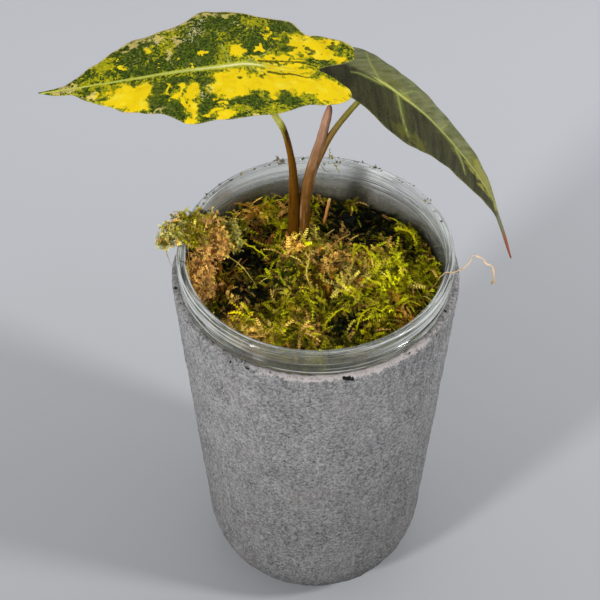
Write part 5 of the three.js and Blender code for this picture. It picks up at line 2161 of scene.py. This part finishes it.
STALKS = (
    Stalk(
        "petiole_variegated", "stem_variegated_leaf", "brown_stem",
        (
            (-7, 21.3, 133), (-7.6, 20.5, 145.5), (-7.5, 18.6, 167.5), (-8.5, 16.5, 184.2),
            (-10.8, 14.6, 198), (-14, 13.4, 206.5), (-18, 11.8, 219), (-22.2, 10.1, 232),
        ),
        between(
            (0, 0.12, 0.27, 0.35, 0.42, 0.52, 0.6, 0.67, 0.75, 1),
            (2, 2, 1.88, 1.62, 1.38, 1.14, 1.06, 1.12, 1.14, 0.9),
        ),
        end=0.972,
        scars=(
            ((-10.9, 12.7, 204.9), (-10.6, 12.8, 204), 0.55),
            ((-10.2, 13.9, 198.6), (-9.8, 14.3, 196.4), 0.75),
            ((-9.9, 14.3, 196), (-9.3, 14.8, 192.3), 0.55),
            ((-9.2, 14.8, 192.3), (-8.4, 15.8, 184.8), 0.6),
            ((-8.4, 15.8, 184.8), (-8.8, 16.9, 176), 0.45),
        ),
        finish=FibreFinish(
            "brown_stem",
            (
                (0.0, BROWN), (0.4, STEM_BROWN), (0.56, linear(122, 78, 12)),
                (0.63, linear(132, 104, 30)), (0.69, STEM_GREEN), (0.78, STEM_YELLOW), (1.0, STEM_YELLOW),
            ),
            140, 230, streak=linear(40, 24, 6), streaks=0.9, rough=0.5, tilt=-0.05,
        ),
    ),
    Stalk(
        "petiole_green", "stem_green_leaf", "olive_stem",
        (
            (-3.2, 20.8, 133), (-3.4, 20.6, 150.5), (-2.6, 20.2, 164.5), (-0.7, 20, 174.2),
            (1.6, 19.8, 181.5), (5.3, 19.6, 191.5), (9.4, 19.5, 199.2), (14, 19, 206.7),
            (17.6, 18.5, 211.8), (22, 18, 216),
        ),
        lambda t: 1.5 - 0.65 * t, end=0.975,
        finish=FibreFinish(
            "olive_stem",
            (
                (0.0, BROWN), (0.52, linear(140, 98, 52)), (0.68, linear(134, 106, 50)),
                (0.8, linear(128, 118, 44)), (1.0, linear(146, 148, 56)),
            ),
            140, 216, streak=linear(90, 80, 30), streaks=0.45, rough=0.42,
        ),
    ),
    Stalk(
        "sheath", "leaf_sheath", "sheath",
        (
            (-3.7, 21, 134), (-4.1, 20.5, 150), (-3.4, 20.1, 162), (-2.4, 20, 169.4), (-0.9, 20, 176.6),
            (0.6, 20, 183.6), (2.15, 20, 190.5), (3.1, 20, 195.5), (4.1, 20, 201.2), (4.6, 20, 204.6),
        ),
        between(
            (0, 0.22, 0.32, 0.42, 0.52, 0.62, 0.72, 0.82, 0.9, 0.95, 0.98, 1),
            (1.9, 1.8, 1.95, 2.12, 2.02, 1.86, 1.76, 1.62, 1.5, 1.24, 0.85, 0.4),
        ),
        ribs=0.035, sides=28,
        finish=FibreFinish(
            "leaf_sheath",
            (
                (0.0, linear(96, 60, 6)), (0.3, linear(120, 78, 22)), (0.5, linear(132, 90, 40)),
                (0.7, linear(154, 112, 78)), (0.93, linear(176, 130, 106)), (1.0, linear(136, 84, 60)),
            ),
            140, 205, streak=linear(212, 174, 140), streaks=0.62, rough=0.62,
        ),
    ),
    Stalk(
        "stub", "dry_stub", "dry_moss", ((2, 26.8, 132), (2.7, 26, 140), (3.9, 25, 149), (5, 24, 156.6)),
        lambda t: 0.62 - 0.1 * t, steps=40, sides=12, kinks=0.1,
        finish=FibreFinish(
            "dry_stub",
            (
                (0.0, linear(140, 84, 24)), (0.5, linear(206, 136, 70)), (0.85, linear(222, 158, 96)),
                (1.0, linear(228, 196, 120)),
            ),
            138, 157, streak=linear(82, 50, 26), streaks=0.5, rough=0.7,
        ),
    ),
    Stalk(
        "curly_strand", "dry_moss_strand", "dry_moss",
        (
            (37.5, -12, 145.5), (41, -11.5, 152.5), (43.6, -11, 156), (46.2, -10.5, 156.1),
            (49.4, -10, 156.9), (51.4, -9.6, 159.4), (52.6, -9.4, 163), (54.8, -10, 162.6),
            (57, -10.4, 160.4), (59.2, -11, 158.6), (59.8, -12, 155), (59.2, -13, 152),
        ),
        lambda t: 0.12 + 0.22 * np.clip(t * 1.6 - 0.2, 0, 1) + 0.12 * np.sin(60 * t) * t, steps=130,
        sides=8, ribs=0.14, kinks=0.24,
        finish=FibreFinish(
            "dry_strand",
            (
                (0.0, linear(96, 90, 26)), (0.5, linear(170, 140, 74)), (0.68, linear(224, 192, 150)),
                (1.0, linear(236, 212, 178)),
            ),
            142, 164, streak=linear(150, 104, 56), streaks=0.7, rough=0.8,
        ),
    ),
)


# Light, floor and camera


@dataclass(frozen=True)
class Studio:
    """A pale floor painted darker towards the front as painted light falloff, five soft lights, a soft
    sky and the camera.
    """

    floor: Colour = linear(203, 205, 210)
    floor_front_falloff: Colour = linear(170, 172, 174)
    floor_side: float = 8000
    sky: float = 0.39
    sky_colour: Colour = (0.97, 0.98, 1)
    lit: Point = (0, 0, 120)
    target: Point = (-5.39, 0, 130.72)
    distance: float = 834.3
    elevation: float = 47.31
    lens: float = 144
    sensor: float = 36
    lights: Sequence[tuple[Point, float, float]] = (
        ((900, -310, 860), 6.8, 170), ((-765, -815, 560), 9.3, 170), ((60, 420, 1300), 1.3, 700),
        ((-1150, 60, 420), 0.6, 600), ((1150, 60, 420), 1.3, 600),
    )

    def build(self) -> None:
        """Sets up the floor, the lights and the camera."""
        scene = bpy.context.scene
        scene.view_settings.view_transform = "Standard"
        self._lay_floor()
        world = bpy.data.worlds.new("soft_sky")
        world.use_nodes = True
        background = world.node_tree.nodes["Background"].inputs
        background["Color"].default_value = (*self.sky_colour, 1)
        background["Strength"].default_value = self.sky
        scene.world = world
        for number, (place, power, size) in enumerate(self.lights):
            data = bpy.data.lights.new(f"soft_light_{number}", "AREA")
            data.shape = "DISK"
            data.energy = power
            data.size = size * MM
            light = bpy.data.objects.new(data.name, data)
            light.location = Vector(place) * MM
            ahead = Vector(self.lit) * MM - light.location
            light.rotation_euler = ahead.to_track_quat("-Z", "Y").to_euler()
            scene.collection.objects.link(light)
        self._set_camera()

    def _lay_floor(self) -> None:
        """Lays the floor, painted darker towards the front as painted light falloff."""
        paint = Paint("floor")
        place = paint.place()
        # painted light falloff: the floor is darker towards the front
        back = (paint.axis(place, 1) + paint.noise(place, 90, 2) * 30).rise(-120, 330)
        body = paint.mix(back, self.floor_front_falloff, self.floor)
        finish = paint.finished(Base_Color=body, Roughness=0.85, Specular_IOR_Level=0.2)
        side = self.floor_side / 2
        corners = np.array([[-side, -side, 0], [side, -side, 0], [side, side, 0], [-side, side, 0]])
        mesh = Form(corners, [(0, 1, 2, 3)]).mesh("floor")
        mesh.materials.append(finish)
        floor = bpy.data.objects.new("floor", mesh)
        bpy.context.scene.collection.objects.link(floor)

    def _set_camera(self) -> None:
        """Sets the camera at the height and distance that it looks from."""
        turn = math.radians(self.elevation)
        target = Vector(self.target) * MM
        back = Vector((0, -math.cos(turn), math.sin(turn)))
        data = bpy.data.cameras.new("camera")
        data.lens, data.sensor_width = self.lens, self.sensor
        camera = bpy.data.objects.new("camera", data)
        camera.location = target + back * self.distance * MM
        camera.rotation_euler = (-back).to_track_quat("-Z", "Y").to_euler()
        bpy.context.scene.collection.objects.link(camera)
        bpy.context.scene.camera = camera


# The whole


CLUMPS = (
    MossClump(
        "moss_overhang", "moss", 940, 61,
        (
            (G, -53, 4, 4), (G, -49, 5, 3), (O, -45, 9, 5), (D, -40, 12, 3), (S, -34, 4, 5),
            (S, -47, 13, 4), (O, -42, 6, 4), (T, -32, 8, 4),
        ),
        {O: 0.5, L: 0.04, T: 0.4, C: 0.14, G: 0.2, D: 0.2, S: 0.2}, 0.9, about=(-37, 8, 150),
        stretch=(0.54, 0.9, 1), shift=(0, 1.6, 0.6),
    ),
    MossClump(
        "dry_moss_clump", "dry_moss", 500, 67, ((S, -36, -6, 5), (S, -37, 2, 5)),
        {T: 0.5, R: 0.2, C: 0.2, S: 0.9, O: 0.2}, 0.95, about=(-41, -5, 145), stretch=(0.56, 1.05, 1),
        shift=(0, 2.4, 1),
    ),
    MossClump(
        "pale_moss_sprig", "moss", 210, 71, ((G, -26, 12, 6),), {G: 0.5, L: 0.4, O: 0.25, C: 0.15}, 0.8,
        about=(-34, 11, 149), stretch=(0.4, 0.65, 1), shift=(1.4, 3.4, 0),
    ),
)
FRONDS = (
    Frond(5.6, 0.9, 1.05), Frond(7.2, 1.9, 1.0), Frond(4.2, 0.5, 1.2, whorl=0.8, blade=0.3),
    Frond(5.4, 2.8, 1.0, whorl=0.4), Frond(7.6, 1.2, 0.8),
)
CLUMP_FRONDS = (
    Frond(4.6, 1.0, 1.0, pairs=6, whorl=0.7, blade=0.3, stalk=0.1),
    Frond(5.8, 2.0, 0.9, pairs=6, whorl=0.4, blade=0.28, stalk=0.1),
    Frond(3.4, 0.5, 1.1, pairs=5, whorl=1.1, blade=0.32, stalk=0.1),
)


def dress_small_nodes() -> None:
    """Gives the bark scrap and the rootstock, which keep their own shapes, their finishes."""
    finishes = {
        "bark_scrap": BarkFinish("bark", linear(226, 214, 158), linear(168, 136, 82)),
        "rootstock": BarkFinish("root_skin", linear(172, 132, 90), linear(112, 78, 48)),
    }
    for node, finish in finishes.items():
        mesh = frame["nodes"][node].data
        material = finish.paint()
        if mesh.materials:
            for number in range(len(mesh.materials)):
                mesh.materials[number] = material
        else:
            mesh.materials.append(material)
        log.info("%s keeps its shape", node)


def main() -> None:
    """Builds the whole plant, in order, and reports each piece."""
    logging.basicConfig(level=logging.INFO, format="%(message)s")
    StonePot().build()
    ClearCup().build()
    moss = MossFinish("curly_moss").paint()
    scatter = FrondScatter(FRONDS)
    MossBed().build(scatter, moss)
    scatter.close()
    scatter = FrondScatter(CLUMP_FRONDS)
    for clump in CLUMPS:
        clump.build(scatter, moss)
    scatter.close()
    runners = [runner.form() for runner in (*RUNNERS, *crumb_runners())]
    set_in_place(Form.joined(runners).mesh("moss_runners"), moss)
    VARIEGATED_LEAF.build(VariegatedFinish().paint())
    GREEN_LEAF.build(DarkLeafFinish().paint())
    for stalk in STALKS:
        stalk.build()
    dress_small_nodes()
    Studio().build()


if __name__ == "__main__":
    main()
